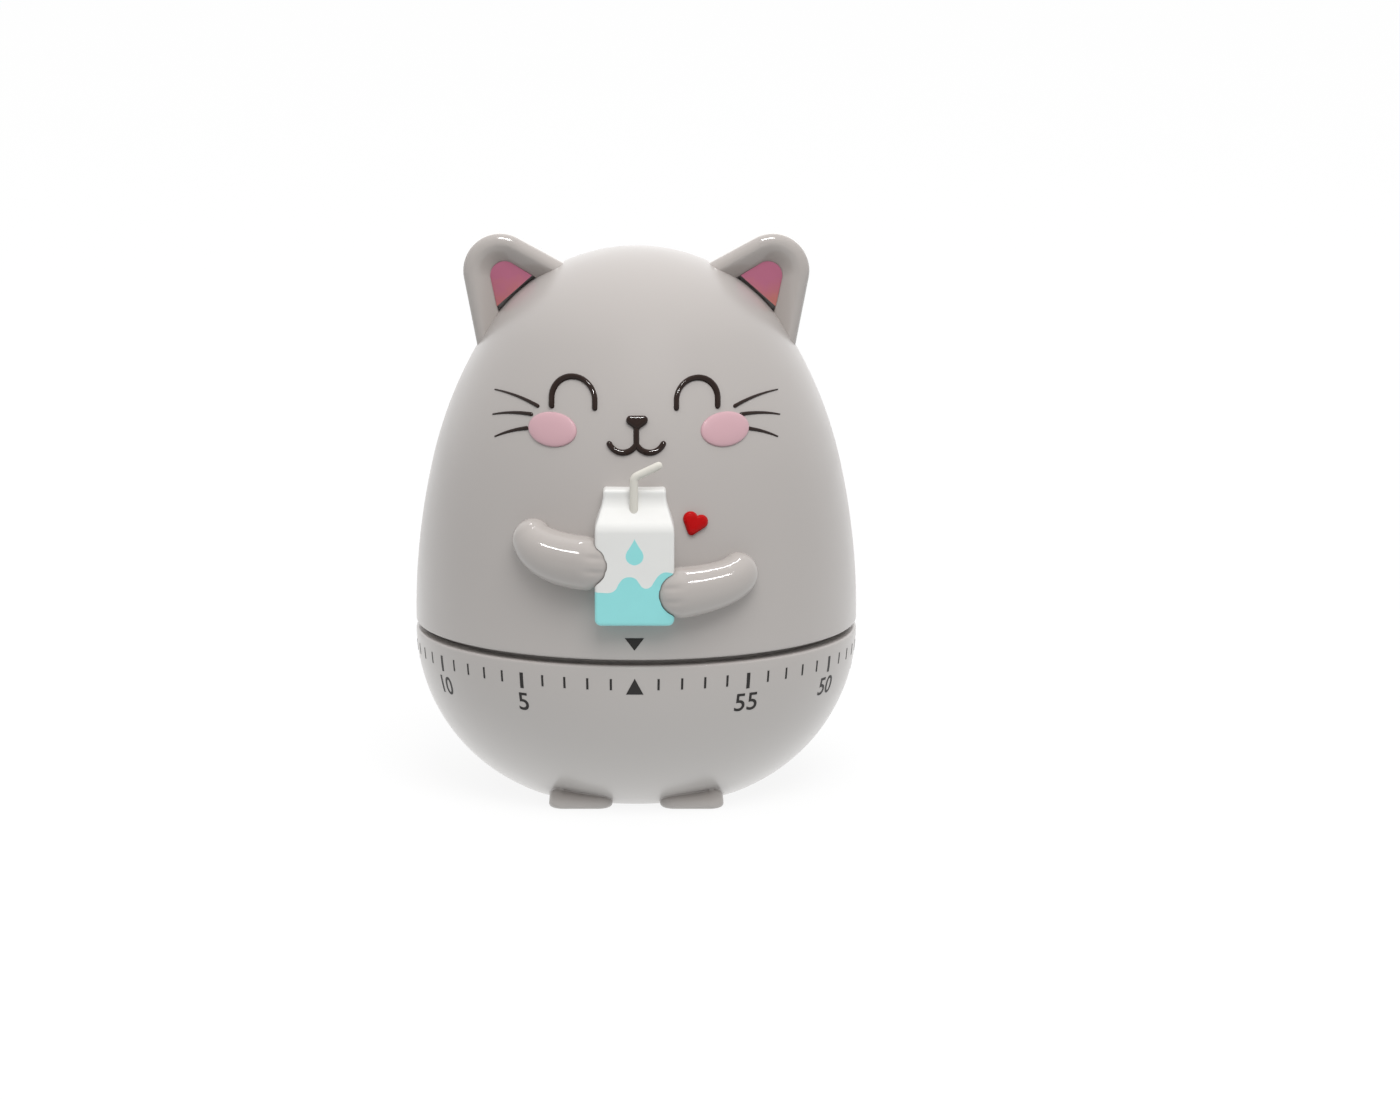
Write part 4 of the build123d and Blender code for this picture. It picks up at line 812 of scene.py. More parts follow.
for side, name in ((1, "right"), (-1, "left")):
    bm = bmesh.new()
    ring, owner = hull_ring(bm, EAR, EAR_SET)
    roll_ring(bm, ring, owner, ear_front)
    roll_ring(bm, ring, owner, ear_back)
    slim(bm)
    bmesh.ops.scale(bm, vec=(side, 1, 1), verts=bm.verts[:])
    ear = settle(bm, f"cat_ear_{name}", EAR_SHARP)
    wear(ear, "head", "shell_grey", f"ear_{name}", finish=polished_grey)

    bm = bmesh.new()
    ring, owner = hull_ring(bm, HOLLOW, EAR_SET)
    bmesh.ops.contextual_create(bm, geom=ring)
    roll_ring(bm, ring, owner, lining)
    bmesh.ops.translate(bm, vec=(0, LINING_T - HOLLOW_FRONT, 0), verts=bm.verts[:])
    bmesh.ops.bisect_plane(
        bm, geom=bm.verts[:] + bm.edges[:] + bm.faces[:], plane_no=-away, clear_outer=True,
        plane_co=crown_point(EAR_LEAN, CROWN_R + LINING_GAP),
    )
    bmesh.ops.holes_fill(bm, edges=[e for e in bm.edges if e.is_boundary], sides=0)
    slim(bm)
    bmesh.ops.scale(bm, vec=(side, 1, 1), verts=bm.verts[:])
    plate = settle(bm, f"cat_ear_lining_{name}")
    wear(plate, "head", "blush_pink", f"ear_lining_{name}", finish=ear_pink)

# %% [markdown]
# ## Laying flat shapes on the head
#
# The face is raised a little from the head and painted. The easy way to make a raised eye or whisker is
# to model it flat, as seen from the front, with its thickness towards the viewer, and then to lay
# it on the egg: each vertex moves to the egg's surface behind it and then out along the surface's
# own direction by its thickness. A Shrinkwrap modifier could do this too, but the arcs of the egg are
# known, so the exact place costs one line.

# %% Places on the head
SLOPE_STEP = 0.01


def head_radius(z):
    """Radius of the head's outside at a height."""
    if z <= WIDE_Z:
        return BELLY_R
    if z <= WIDE_Z + FLANK_R * sin(BEND_1):
        return BELLY_R - FLANK_R + sqrt(FLANK_R**2 - (z - WIDE_Z) ** 2)
    if z <= SHOULDER_Z + SHOULDER_R * sin(BEND_2):
        return SHOULDER_X + sqrt(SHOULDER_R**2 - (z - SHOULDER_Z) ** 2)
    return sqrt(CROWN_R**2 - (z - CROWN_Z) ** 2)


def head_normal(x, z):
    """Outward direction of the head at a front-view place."""
    slope = (head_radius(z + SLOPE_STEP) - head_radius(z - SLOPE_STEP)) / (2 * SLOPE_STEP)
    radius = head_radius(z)
    return Vector((x / radius, -sqrt(radius**2 - x**2) / radius, -slope)).normalized()


def on_head(x, z, lift=0.0):
    """Point over the front of the head, at a front-view place."""
    return Vector((x, -sqrt(head_radius(z) ** 2 - x**2), z)) + head_normal(x, z) * lift


def lay_on_head(bm):
    """Lay a flat drawing on the head; what stood towards the viewer now stands off the surface."""
    for vert in bm.verts:
        vert.co = on_head(vert.co.x, vert.co.z, -vert.co.y)


def face_point(angle, rise):
    """Front-view place: angle round from the front, and height over the widest level."""
    z = WIDE_Z + rise
    return Vector((head_radius(z) * sin(radians(angle)), 0, z))


print("head radius level with the crown's centre in mm:", round(head_radius(CROWN_Z), 2))

# %% [markdown]
# ## Strokes
#
# Eyes, mouth, whiskers, arms and straw are all bars with round ends that follow a line. A curve with a
# bevel could make them, but its ends are flat and its width is hard to steer. So a ring of edges is
# pushed along the line, turned and scaled at every station, and shrunk to nothing at both ends.

# %% Pushing a ring along a line
RING_SIDES, END_FROM, END_SWEEP = 20, 5, 80


def push_ring(bm, places, sides=RING_SIDES):
    """Push a ring of edges through a row of placements, and close it at both ends."""
    circle = bmesh.ops.create_circle(bm, segments=sides, radius=1, cap_ends=True, matrix=places[0])
    ring = list({edge for vert in circle["verts"] for edge in vert.link_edges})
    for before, after in zip(places, places[1:]):
        ring = extrude_ring(bm, ring)
        bmesh.ops.transform(bm, matrix=after @ before.inverted(), verts=ring_verts(ring))
    bmesh.ops.contextual_create(bm, geom=ring)


def placement(at, along, up, half_w, half_h):
    """Matrix that puts a unit circle square to a direction, with its width across and its height up."""
    across = along.cross(up).normalized()
    up = across.cross(along).normalized()
    axes = Matrix((across * half_w, up * half_h, along.normalized())).transposed()
    return Matrix.Translation(at) @ axes.to_4x4()


def rounded(points, halves, ends=4):
    """(point, direction, half width) stations along a row of points, with a round end at both ends."""
    last = len(points) - 1
    ways = [(points[min(i + 1, last)] - points[max(i - 1, 0)]).normalized() for i in range(last + 1)]
    turns = [radians(END_FROM + END_SWEEP * i / ends) for i in range(ends)]
    start = [(points[0] - ways[0] * halves[0] * cos(t), ways[0], halves[0] * sin(t)) for t in turns]
    end = [(points[-1] + ways[-1] * halves[-1] * cos(t), ways[-1], halves[-1] * sin(t)) for t in turns]
    return start + list(zip(points, ways, halves)) + end[::-1]


def stroke(bm, points, width, height, tip=None):
    """Painted line in the flat drawing, half round, with round ends; height is towards the viewer."""
    viewer = Vector((0, -1, 0))
    narrow = (width - (tip or width)) / (len(points) - 1)
    halves = [(width - narrow * i) / 2 for i in range(len(points))]
    flat = 2 * height / width
    stations = rounded(points, halves)
    push_ring(bm, [placement(at, way, viewer, half, half * flat) for at, way, half in stations])


def arc_points(centre, radius, start, end, count):
    """Points along an arc in the front view, angles in degrees."""
    turns = [radians(start + (end - start) * i / count) for i in range(count + 1)]
    return [centre + Vector((radius * cos(t), 0, radius * sin(t))) for t in turns]


print("sides of a stroke:", RING_SIDES)

# %% [markdown]
# ## The face
#
# Closed happy eyes are two arches, raised from the head and painted dark brown. An arch is half a circle
# of points with two short legs below it, and a stroke follows the points.

# %% Eyes
EYE_RISE, EYE_LEG, EYE_STROKE, EYE_HEIGHT = 34.9, 1.0, 0.78, 0.55
ARCH_STEPS = 32
# Painted by hand, so the two eyes differ a little: angle round from the front, radius
EYES = ((-20.4, 3.07), (19.6, 2.93))

bm = bmesh.new()
for angle, radius in EYES:
    drop = Vector((0, 0, -EYE_LEG))
    arch = arc_points(face_point(angle, EYE_RISE), radius, 180, 0, ARCH_STEPS)
    arch = [arch[0] + drop, arch[0] + drop / 2, *arch, arch[-1] + drop / 2, arch[-1] + drop]
    stroke(bm, arch, EYE_STROKE, EYE_HEIGHT)
lay_on_head(bm)
wear(settle(bm, "smiling_eyes"), "head", "face_brown", "eyes")

# %% [markdown]
# The nose is a small rounded triangle with a soft edge, so it takes the ear's tool: an outline round three
# circles, rolled over to the front. The mouth is two shallow arcs that hang from a short stem. Each arc
# is given by its width and its sag, which are easier to judge than a radius.

# %% Nose and mouth
NOSE_RISE, NOSE_SIDE_R, NOSE_FOOT_R, NOSE_HEIGHT, NOSE_ROLL = 32.5, 0.6, 0.5, 0.75, 0.45
NOSE_X, NOSE_FOOT_DROP, NOSE_SIDE_X, NOSE_SIDE_DROP = 0.1, 0.95, 0.92, 0.2
MOUTH_RISE, MOUTH_LOBE_W, MOUTH_SAG, MOUTH_STROKE, MOUTH_HEIGHT = 29.1, 1.9, 1.15, 0.85, 0.6
MOUTH_STEPS, STEM_STEPS, STEM_FROM = 20, 8, 2

bm = bmesh.new()
nose_z = WIDE_Z + NOSE_RISE
nose = [(Vector((NOSE_X, 0, nose_z - NOSE_FOOT_DROP)), NOSE_FOOT_R)]
for side in (1, -1):
    nose.append((Vector((NOSE_X + side * NOSE_SIDE_X, 0, nose_z - NOSE_SIDE_DROP)), NOSE_SIDE_R))
ring, owner = hull_ring(bm, nose)
roll_ring(bm, ring, owner, [(nose, 0)] + quarter_round(nose, NOSE_ROLL, NOSE_HEIGHT - NOSE_ROLL))
bmesh.ops.holes_fill(bm, edges=[e for e in bm.edges if e.is_boundary], sides=0)

mouth_z = WIDE_Z + MOUTH_RISE
sag_r = (MOUTH_LOBE_W**2 + MOUTH_SAG**2) / (2 * MOUTH_SAG)
spread = degrees(asin(MOUTH_LOBE_W / sag_r))
for side in (-1, 1):
    middle = Vector((side * MOUTH_LOBE_W, 0, mouth_z + sag_r - MOUTH_SAG))
    smile = arc_points(middle, sag_r, 270 - spread, 270 + spread, MOUTH_STEPS)
    stroke(bm, smile, MOUTH_STROKE, MOUTH_HEIGHT)
fall = (mouth_z - nose_z) / STEM_STEPS
stem = [Vector((0, 0, nose_z + fall * step)) for step in range(STEM_FROM, STEM_STEPS + 1)]
stroke(bm, stem, MOUTH_STROKE, MOUTH_HEIGHT)
lay_on_head(bm)
wear(settle(bm, "nose_and_smile"), "head", "face_brown", "nose_and_mouth")

# %% [markdown]
# Three whiskers on each side thin out towards their tips, as a brush leaves them, and bow a little. A
# straight line between two points, lifted most in its middle, is bow enough.

# %% Whiskers
WHISKER_ROOT_W, WHISKER_TIP_W, WHISKER_HEIGHT, WHISKER_STEPS = 0.56, 0.22, 0.3, 16
# Root: angle round from the front, rise. Tip: angle, rise. Bow of the middle
WHISKERS = ((32.4, 33.7, 52.3, 35.1, 0.33), (34.0, 32.5, 49.4, 31.8, 0.27), (34.3, 30.6, 45.9, 28.9, 0.2))
shares = [step / WHISKER_STEPS for step in range(WHISKER_STEPS + 1)]

bm = bmesh.new()
for side in (-1, 1):
    for root_angle, root_rise, tip_angle, tip_rise, bow in WHISKERS:
        root = face_point(side * root_angle, root_rise)
        tip = face_point(side * tip_angle, tip_rise)
        lift = Vector((tip.z - root.z, 0, root.x - tip.x)).normalized() * bow * -side
        points = [root.lerp(tip, t) + lift * 4 * t * (1 - t) for t in shares]
        stroke(bm, points, WHISKER_ROOT_W, WHISKER_HEIGHT, WHISKER_TIP_W)
lay_on_head(bm)
wear(settle(bm, "long_whiskers"), "head", "face_brown", "whiskers")

# %% [markdown]
# The cheeks are pink ovals that stand up like flat pebbles: a steep edge and a nearly level top. A ball has
# the right outline, and a power below one applied to its depth makes its top flat.

# %% Cheeks
CHEEK_RISE, CHEEK_HALF_W, CHEEK_HALF_H, CHEEK_HEIGHT = 30.7, 3.44, 2.36, 0.6
CHEEK_ANGLES, CHEEK_FLAT, CHEEK_SUNK = (-25.6, 27.2), 0.55, 0.5
CHEEK_SIDES, CHEEK_ROWS, SOFT_SHARP = 48, 24, 80
UPRIGHT = Matrix.Rotation(radians(90), 3, "X")

bm = bmesh.new()
for angle in CHEEK_ANGLES:
    dome = bmesh.ops.create_uvsphere(bm, u_segments=CHEEK_SIDES, v_segments=CHEEK_ROWS, radius=1)["verts"]
    bmesh.ops.rotate(bm, cent=(0, 0, 0), matrix=UPRIGHT, verts=dome)
    for vert in dome:
        side = 1 if vert.co.y < 0 else -CHEEK_SUNK
        vert.co.y = -CHEEK_HEIGHT * abs(vert.co.y) ** CHEEK_FLAT * side
    bmesh.ops.scale(bm, vec=(CHEEK_HALF_W, 1, CHEEK_HALF_H), verts=dome)
    bmesh.ops.translate(bm, vec=face_point(angle, CHEEK_RISE), verts=dome)
lay_on_head(bm)
wear(settle(bm, "rosy_cheeks", SOFT_SHARP), "head", "blush_pink", "cheeks")

# %% [markdown]
# The heart is a small red cushion. One half of its outline is drawn with the compass, from the tip over one
# lobe to the notch, and mirrored. The outline is then extruded towards the viewer and shrunk a little more
# at each step, which gives a full shape without a crease.

# %% Heart
HEART_ANGLE, HEART_RISE, HEART_TILT, HEART_HEIGHT, HEART_RIM = 15.7, 18.5, 20.0, 0.9, 0.25
HEART_LOBE_R, HEART_LOBE_X, HEART_DROP, HEART_TIP_R = 1.0, 0.78, 2.2, 0.55
HEART_MIDDLE, HEART_FULL = Vector((0, 0, -0.3)), 0.55
HEART_TIP_STEPS, HEART_LOBE_STEPS, HEART_MERGE, DOME_STEP = 6, 20, 0.01, 8

bm = bmesh.new()
lobe = (Vector((HEART_LOBE_X, 0, 0)), HEART_LOBE_R)
point = (Vector((0, 0, HEART_TIP_R - HEART_DROP)), HEART_TIP_R)
side = tangent(point, lobe)
notch = degrees(acos(HEART_LOBE_X / HEART_LOBE_R))
foot = bm.verts.new((0, 0, -HEART_DROP))
vert = arc(bm, foot, (0, point[0].z), side + 90, HEART_TIP_STEPS)
lobe_start = (HEART_LOBE_X + HEART_LOBE_R * cos(radians(side)), HEART_LOBE_R * sin(radians(side)))
arc(bm, line(bm, vert, lobe_start), (HEART_LOBE_X, 0), 180 - notch - side, HEART_LOBE_STEPS)
bmesh.ops.mirror(bm, geom=bm.verts[:] + bm.edges[:], axis="X", merge_dist=HEART_MERGE)
bmesh.ops.remove_doubles(bm, verts=bm.verts[:], dist=HEART_MERGE)
ring = bm.edges[:]
turns = [radians(angle) for angle in range(0, 88, DOME_STEP)]
dome = HEART_HEIGHT - HEART_RIM
cushion = [(cos(t) ** HEART_FULL, HEART_RIM + dome * sin(t)) for t in turns]
bmesh.ops.contextual_create(bm, geom=ring)
for (old, near), (new, far) in zip([(1, 0), *cushion], cushion):
    ring = extrude_ring(bm, ring)
    verts = ring_verts(ring)
    share = new / old
    bmesh.ops.scale(bm, vec=(share, 1, share), space=Matrix.Translation(-HEART_MIDDLE), verts=verts)
    bmesh.ops.translate(bm, vec=(0, near - far, 0), verts=verts)
bmesh.ops.contextual_create(bm, geom=ring)
tilt = Matrix.Rotation(radians(HEART_TILT), 3, "Y")
bmesh.ops.rotate(bm, cent=(0, 0, 0), matrix=tilt, verts=bm.verts[:])
bmesh.ops.translate(bm, vec=face_point(HEART_ANGLE, HEART_RISE), verts=bm.verts[:])
lay_on_head(bm)
wear(settle(bm, "red_heart", SOFT_SHARP), "head", "heart_red", "heart")

# %% [markdown]
# ## Arms
#
# The arms are plump rounded bars that lie along the belly and reach for the carton. A ring of edges is
# pushed along a bent line over the belly, wider than it is deep. The paws end in three stubby
# toes, and those are two soft grooves pressed into the finished bar.

# %% Arms
# Front-view x, height over the widest level, lift of the middle off the belly, half width
ARM_LEFT = ((-14.4, 15.4, 0.7, 3.05), (-11.55, 13.55, 1.5, 3.63), (-6.75, 12.7, 2.4, 3.84))
ARM_RIGHT = ((14.2, 10.75, 0.7, 2.98), (11.2, 9.45, 1.5, 3.27), (6.0, 8.7, 2.25, 3.66))
ARM_FLAT, ARM_STEPS, ARM_SIDES, ARM_ENDS = 0.88, 48, 72, 12
TOE_LINES, TOE_DEPTH, TOE_WIDTH, TOE_REACH, TOE_ONSET = (-1.0, 1.0), 0.3, 0.36, 3.2, 1.6


def through(first, middle, last, t):
    """Smooth curve through three points or numbers, at 0, a half and 1."""
    return first * (2 * t * t - 3 * t + 1) + middle * (4 * t - 4 * t * t) + last * (2 * t * t - t)


def press_toes(bm, points, half):
    """Two grooves along the last end of a bar, deepest where it faces the front."""
    bm.normal_update()
    front = head_normal(points[-1].x, points[-1].z)
    ahead = (points[-1] - points[-2]).normalized()
    across = ahead.cross(front).normalized()
    for vert in bm.verts:
        offset = vert.co - points[-1]
        reach = (offset.dot(ahead) + TOE_REACH - half) / TOE_REACH
        if reach > 0:
            groove = sum(exp(-((offset.dot(across) - at) / TOE_WIDTH) ** 2) for at in TOE_LINES)
            depth = TOE_DEPTH * min(1, TOE_ONSET * reach) * groove
            vert.co -= front * depth * max(0, vert.normal.dot(front))


def arm(name, rows, grow=0.0):
    """Bar along the belly through three stations, with toes at its last end."""
    centres = [on_head(x, WIDE_Z + rise, lift) for x, rise, lift, half in rows]
    steps = [step / ARM_STEPS for step in range(ARM_STEPS + 1)]
    points = [through(*centres, t) for t in steps]
    halves = [through(*(row[3] for row in rows), t) + grow for t in steps]
    places = []
    for at, way, half in rounded(points, halves, ARM_ENDS):
        places.append(placement(at, way, head_normal(at.x, at.z), half, half * ARM_FLAT))
    bm = bmesh.new()
    push_ring(bm, places, ARM_SIDES)
    press_toes(bm, points, halves[-1])
    return settle(bm, name, SOFT_SHARP)


ARMS = (("left", ARM_LEFT), ("right", ARM_RIGHT))
for name, rows in ARMS:
    wear(arm(f"cat_arm_{name}", rows), "head", "shell_grey", f"arm_{name}", finish=polished_grey)

# %% [markdown]
# ## Carton and straw
#
# The cat hugs a drinks carton with a gable top: a box whose roof slopes back to a flat crimp. On the real
# timer it is moulded and painted, not folded. It is one block that is extruded twice, first up and
# inwards for the roof and then straight up for the crimp.

# %% Carton
CARTON_X, CARTON_W, CARTON_CRIMP_W = -0.25, 11.2, 8.9
CARTON_Z, CARTON_BODY_H, CARTON_ROOF_H, CARTON_CRIMP_H = WIDE_Z + 4.4, 14.07, 3.03, 1.8
CARTON_SHOULDER_Z = CARTON_Z + CARTON_BODY_H
CARTON_CRIMP_Z = CARTON_SHOULDER_Z + CARTON_ROOF_H
CARTON_TOP_Z = CARTON_CRIMP_Z + CARTON_CRIMP_H
CARTON_PROUD, CRIMP_PROUD, CARTON_BACK = 3.3, 2.3, -27.0
CARTON_FRONT = -head_radius(CARTON_Z) - CARTON_PROUD
CRIMP_FRONT = -head_radius(CARTON_CRIMP_Z) - CRIMP_PROUD

bm = bmesh.new()
block = bmesh.ops.create_cube(bm, size=1)["verts"]
half_way = (CARTON_BACK + CARTON_FRONT) / 2
bmesh.ops.scale(bm, vec=(CARTON_W, CARTON_BACK - CARTON_FRONT, CARTON_BODY_H), verts=block)
bmesh.ops.translate(bm, vec=(CARTON_X, half_way, CARTON_Z + CARTON_BODY_H / 2), verts=block)
top = max(bm.faces, key=lambda face: face.calc_center_median().z)
roof = (CARTON_ROOF_H, CARTON_CRIMP_W / CARTON_W, CRIMP_FRONT - CARTON_FRONT)
crimp = (CARTON_CRIMP_H, 1, 0)
for height, share, back in (roof, crimp):
    grown = bmesh.ops.extrude_face_region(bm, geom=[top])["geom"]
    fresh = [g for g in grown if isinstance(g, bmesh.types.BMVert)]
    bmesh.ops.delete(bm, geom=[top], context="FACES_ONLY")
    bmesh.ops.translate(bm, vec=(0, 0, height), verts=fresh)
    bmesh.ops.scale(bm, vec=(share, 1, 1), space=Matrix.Translation((-CARTON_X, 0, 0)), verts=fresh)
    bmesh.ops.translate(bm, vec=(0, back, 0), verts=[v for v in fresh if v.co.y < half_way])
    top = next(g for g in grown if isinstance(g, bmesh.types.BMFace))
print("carton block:", len(bm.faces), "faces, top at", round(CARTON_TOP_Z, 2), "mm")

# %% [markdown]
# A moulded piece has no sharp edge. The folds of the roof are rolled over widest, then the two short edges
# of the foot, then every edge that is still sharp. The paws press into the carton, so slightly fatter
# copies of the arms are cut out of it. The thin gap that is left reads as the dark line round each paw.

# %% Carton edges and paw prints
CREASE_ROUND, FOOT_CORNER_ROUND, EDGE_ROUND, PAW_GAP = 0.9, 0.9, 0.5, 0.16
CREASE_STEPS, EDGE_STEPS, FOLD_ANGLE, CARTON_SHARP = 6, 5, 20, 50
NEAR, LEVEL = 0.1, 0.01


def roll_edges(bm, edges, offset, segments):
    """Roll edges over with a round bevel."""
    bmesh.ops.bevel(
        bm, geom=edges, offset=offset, offset_type="OFFSET", segments=segments, profile=0.5, affect="EDGES",
        material=-1,
    )


def level_edges(bm, low, high):
    """Level edges from one height to another."""
    level = [e for e in bm.edges if abs(e.verts[0].co.z - e.verts[1].co.z) < LEVEL]
    return [e for e in level if low - NEAR < e.verts[0].co.z < high + NEAR]


roll_edges(bm, level_edges(bm, CARTON_SHOULDER_Z, CARTON_CRIMP_Z), CREASE_ROUND, CREASE_STEPS)
foot = level_edges(bm, CARTON_Z, CARTON_Z)
foot = [e for e in foot if abs(e.verts[0].co.x - e.verts[1].co.x) < NEAR]
roll_edges(bm, foot, FOOT_CORNER_ROUND, CREASE_STEPS)
folds = [e for e in bm.edges if e.calc_face_angle(0) > radians(FOLD_ANGLE)]
roll_edges(bm, folds, EDGE_ROUND, EDGE_STEPS)
box = settle(bm, "drinks_carton", CARTON_SHARP)
carve(box, [arm(f"{name}_cutter", rows, PAW_GAP) for name, rows in ARMS])
print("carton with paw prints:", len(box.data.polygons), "faces")

# %% [markdown]
# The carton is painted white, with a turquoise wave along its foot and a plain droplet in the middle.
# Both are drawn by a Float Curve node. For the wave the curve is a height over x: what lies below it is
# turquoise. For the droplet it is a half width over the height: what lies within it is turquoise.

# %% Wave and droplet
WAVE_LEFT, WAVE_RISE = CARTON_X - CARTON_W / 2, 8.0
# Share of the width from the left, share of the rise over the carton's foot
WAVE = (
    (0.0, 0.615), (0.10, 0.605), (0.19, 0.605), (0.25, 0.645), (0.31, 0.78), (0.37, 0.865), (0.435, 0.885),
    (0.50, 0.865), (0.56, 0.77), (0.60, 0.70), (0.65, 0.68), (0.70, 0.71), (0.75, 0.81), (0.81, 0.92),
    (0.88, 0.97), (0.94, 0.965), (1.0, 0.94),
)
DROPLET_FOOT, DROPLET_H, DROPLET_HALF_W = CARTON_Z + 8.7, 3.9, 1.3
# Share of the height from the foot, share of the half width
DROPLET = (
    (0.0, 0.0), (0.03, 0.36), (0.10, 0.70), (0.20, 0.92), (0.32, 1.0), (0.45, 0.92), (0.60, 0.66), (0.75, 0.38),
    (0.90, 0.13), (1.0, 0.0),
)
PRINT_EDGE = (0.02, 0.08)


def drawn_curve(tree, value, start, size, points):
    """Float Curve through points, read along a coordinate from start over a size in millimetres."""
    span = {"Value": value, "From Min": start * MM, "From Max": (start + size) * MM}
    share = add_node(tree, "ShaderNodeMapRange", span).outputs[0]
    curve = add_node(tree, "ShaderNodeFloatCurve", {"Value": share})
    drawn = curve.mapping.curves[0].points
    drawn[0].location, drawn[1].location = points[0], points[-1]
    for point in points[1:-1]:
        drawn.new(*point)
    curve.mapping.update()
    return curve.outputs[0]


def sums(tree, operation, *values):
    """Math node."""
    return add_node(tree, "ShaderNodeMath", dict(enumerate(values)), operation=operation).outputs[0]


def inside(tree, value):
    """1 where a length in metres is over zero, with an edge as soft as a printed one."""
    low, high = (edge * MM for edge in PRINT_EDGE)
    return add_node(tree, "ShaderNodeMapRange", {"Value": value, "From Min": low, "From Max": high}).outputs[0]


print("points of the wave:", len(WAVE), "and of the droplet:", len(DROPLET))

# %% [markdown]
# Now the paint itself. The nodes read a place on the carton, compare its height with the wave and its
# distance from the middle with the droplet, and choose white or turquoise. Faint mottling and an
# uneven gloss make both look brushed on.

# %% Carton paint
TURQUOISE, CARTON_WHITE = (0.27, 0.68, 0.68), (0.745, 0.74, 0.72)
WHITE_SPREAD, BLUE_SPREAD, MOTTLE = 0.006, 0.01, 500.0
CARTON_CLOUD, CARTON_GLOSS, CARTON_SKIN, CARTON_DEPTH = 300.0, (0.28, 0.33), 1300.0, 0.001

carton_paint, tree, shader = new_finish("carton_paint", IOR=PLASTIC_IOR)
place = add_node(tree, "ShaderNodeTexCoord").outputs["Object"]
x, _, z = add_node(tree, "ShaderNodeSeparateXYZ", {0: place}).outputs
crest = drawn_curve(tree, x, WAVE_LEFT, CARTON_W, WAVE)
crest = sums(tree, "MULTIPLY_ADD", crest, WAVE_RISE * MM, CARTON_Z * MM)
wave = inside(tree, sums(tree, "SUBTRACT", crest, z))
half = drawn_curve(tree, z, DROPLET_FOOT, DROPLET_H, DROPLET)
half = sums(tree, "MULTIPLY", half, DROPLET_HALF_W * MM)
aside = sums(tree, "ABSOLUTE", sums(tree, "SUBTRACT", x, CARTON_X * MM))
droplet = inside(tree, sums(tree, "SUBTRACT", half, aside))
printed = sums(tree, "MAXIMUM", wave, droplet)
mottle = noise(tree, MOTTLE, COLOUR_DETAIL)
white = two_tone(tree, mottle, shade(CARTON_WHITE, 1 - WHITE_SPREAD), shade(CARTON_WHITE, 1 + WHITE_SPREAD))
blue = two_tone(tree, mottle, shade(TURQUOISE, 1 - BLUE_SPREAD), shade(TURQUOISE, 1 + BLUE_SPREAD))
colour = add_node(tree, "ShaderNodeMix", {0: printed, 6: white, 7: blue}, data_type="RGBA").outputs[2]
tree.links.new(colour, shader.inputs["Base Color"])
tree.links.new(between(tree, noise(tree, CARTON_CLOUD), *CARTON_GLOSS), shader.inputs["Roughness"])
skin_bump(tree, shader, noise(tree, CARTON_SKIN, SKIN_DETAIL), 1.0, CARTON_DEPTH)
wear(box, "head", "carton_white", "carton", finish=carton_paint)

# %% [markdown]
# The bent straw stands against the front of the crimp and leans to one side above it. It is one stroke along
# two straight runs and a soft elbow, as wide as it is deep, so that it comes out round.

# %% Straw
STRAW_R, STRAW_X = 0.6, CARTON_X - 0.1
STRAW_FOOT, STRAW_BEND = CARTON_CRIMP_Z - 2.4, CARTON_CRIMP_Z + 3.7
ELBOW_STEPS, RUN_STEPS, TIP_STEPS, STRAW_SHARP = 8, 6, 4, 60
STRAW_TIP, STRAW_GAP, STRAW_ELBOW = Vector((3.45, 0, 1.65)), 0.15, 0.6

bm = bmesh.new()
foot = Vector((STRAW_X, CRIMP_FRONT - STRAW_R - STRAW_GAP, STRAW_FOOT))
bend = Vector((foot.x, foot.y, STRAW_BEND))
tip = bend + STRAW_TIP
into, out = bend - Vector((0, 0, STRAW_ELBOW)), bend + STRAW_TIP.normalized() * STRAW_ELBOW
shares = [step / ELBOW_STEPS for step in range(ELBOW_STEPS + 1)]
elbow = [into.lerp(bend, t).lerp(bend.lerp(out, t), t) for t in shares]
below = [foot.lerp(into, step / RUN_STEPS) for step in range(RUN_STEPS)]
above = [out.lerp(tip, step / TIP_STEPS) for step in range(1, TIP_STEPS + 1)]
stroke(bm, below + elbow + above, 2 * STRAW_R, STRAW_R)
wear(settle(bm, "bent_straw", STRAW_SHARP), "head", "straw_grey", "straw")

# %% [markdown]
# ## The minute scale
#
# Ticks, numbers and the two pointers are printed on the shells. Print is a film of ink, so each mark
# is a very thin raised piece that follows the curve of the bowl. Marks are made flat, with extra cuts so
# that they can bend, and each vertex is then moved to its place on the bowl.

# %% Printing tools
INK_T, DIAL_ZERO, MINUTE = 0.03, 0.4, 6
INK_BLACK, INK_ROUGH, INK_SHINE = (0.028, 0.026, 0.025), 0.4, 0.12
INK_CLOUD, INK_SKIN, INK_DEPTH = 600.0, 2500.0, 0.002
ink = plastic("printing_ink", INK_BLACK, INK_ROUGH, INK_CLOUD, INK_SKIN, INK_DEPTH, shine=INK_SHINE)


def lay_on_bowl(bm, minute):
    """Lay a flat drawing on the bowl with its middle at a minute of the scale."""
    for vert in bm.verts:
        way = Vector((sqrt(BOWL_R**2 - (vert.co.z - SEAM_Z) ** 2), vert.co.z - SEAM_Z)) / BOWL_R
        radius = BOWL_X + BOWL_R * way.x
        turn = radians(MINUTE * minute + DIAL_ZERO) - vert.co.x / radius
        out = radius - way.x * vert.co.y
        vert.co = (-out * sin(turn), -out * cos(turn), vert.co.z - way.y * vert.co.y)


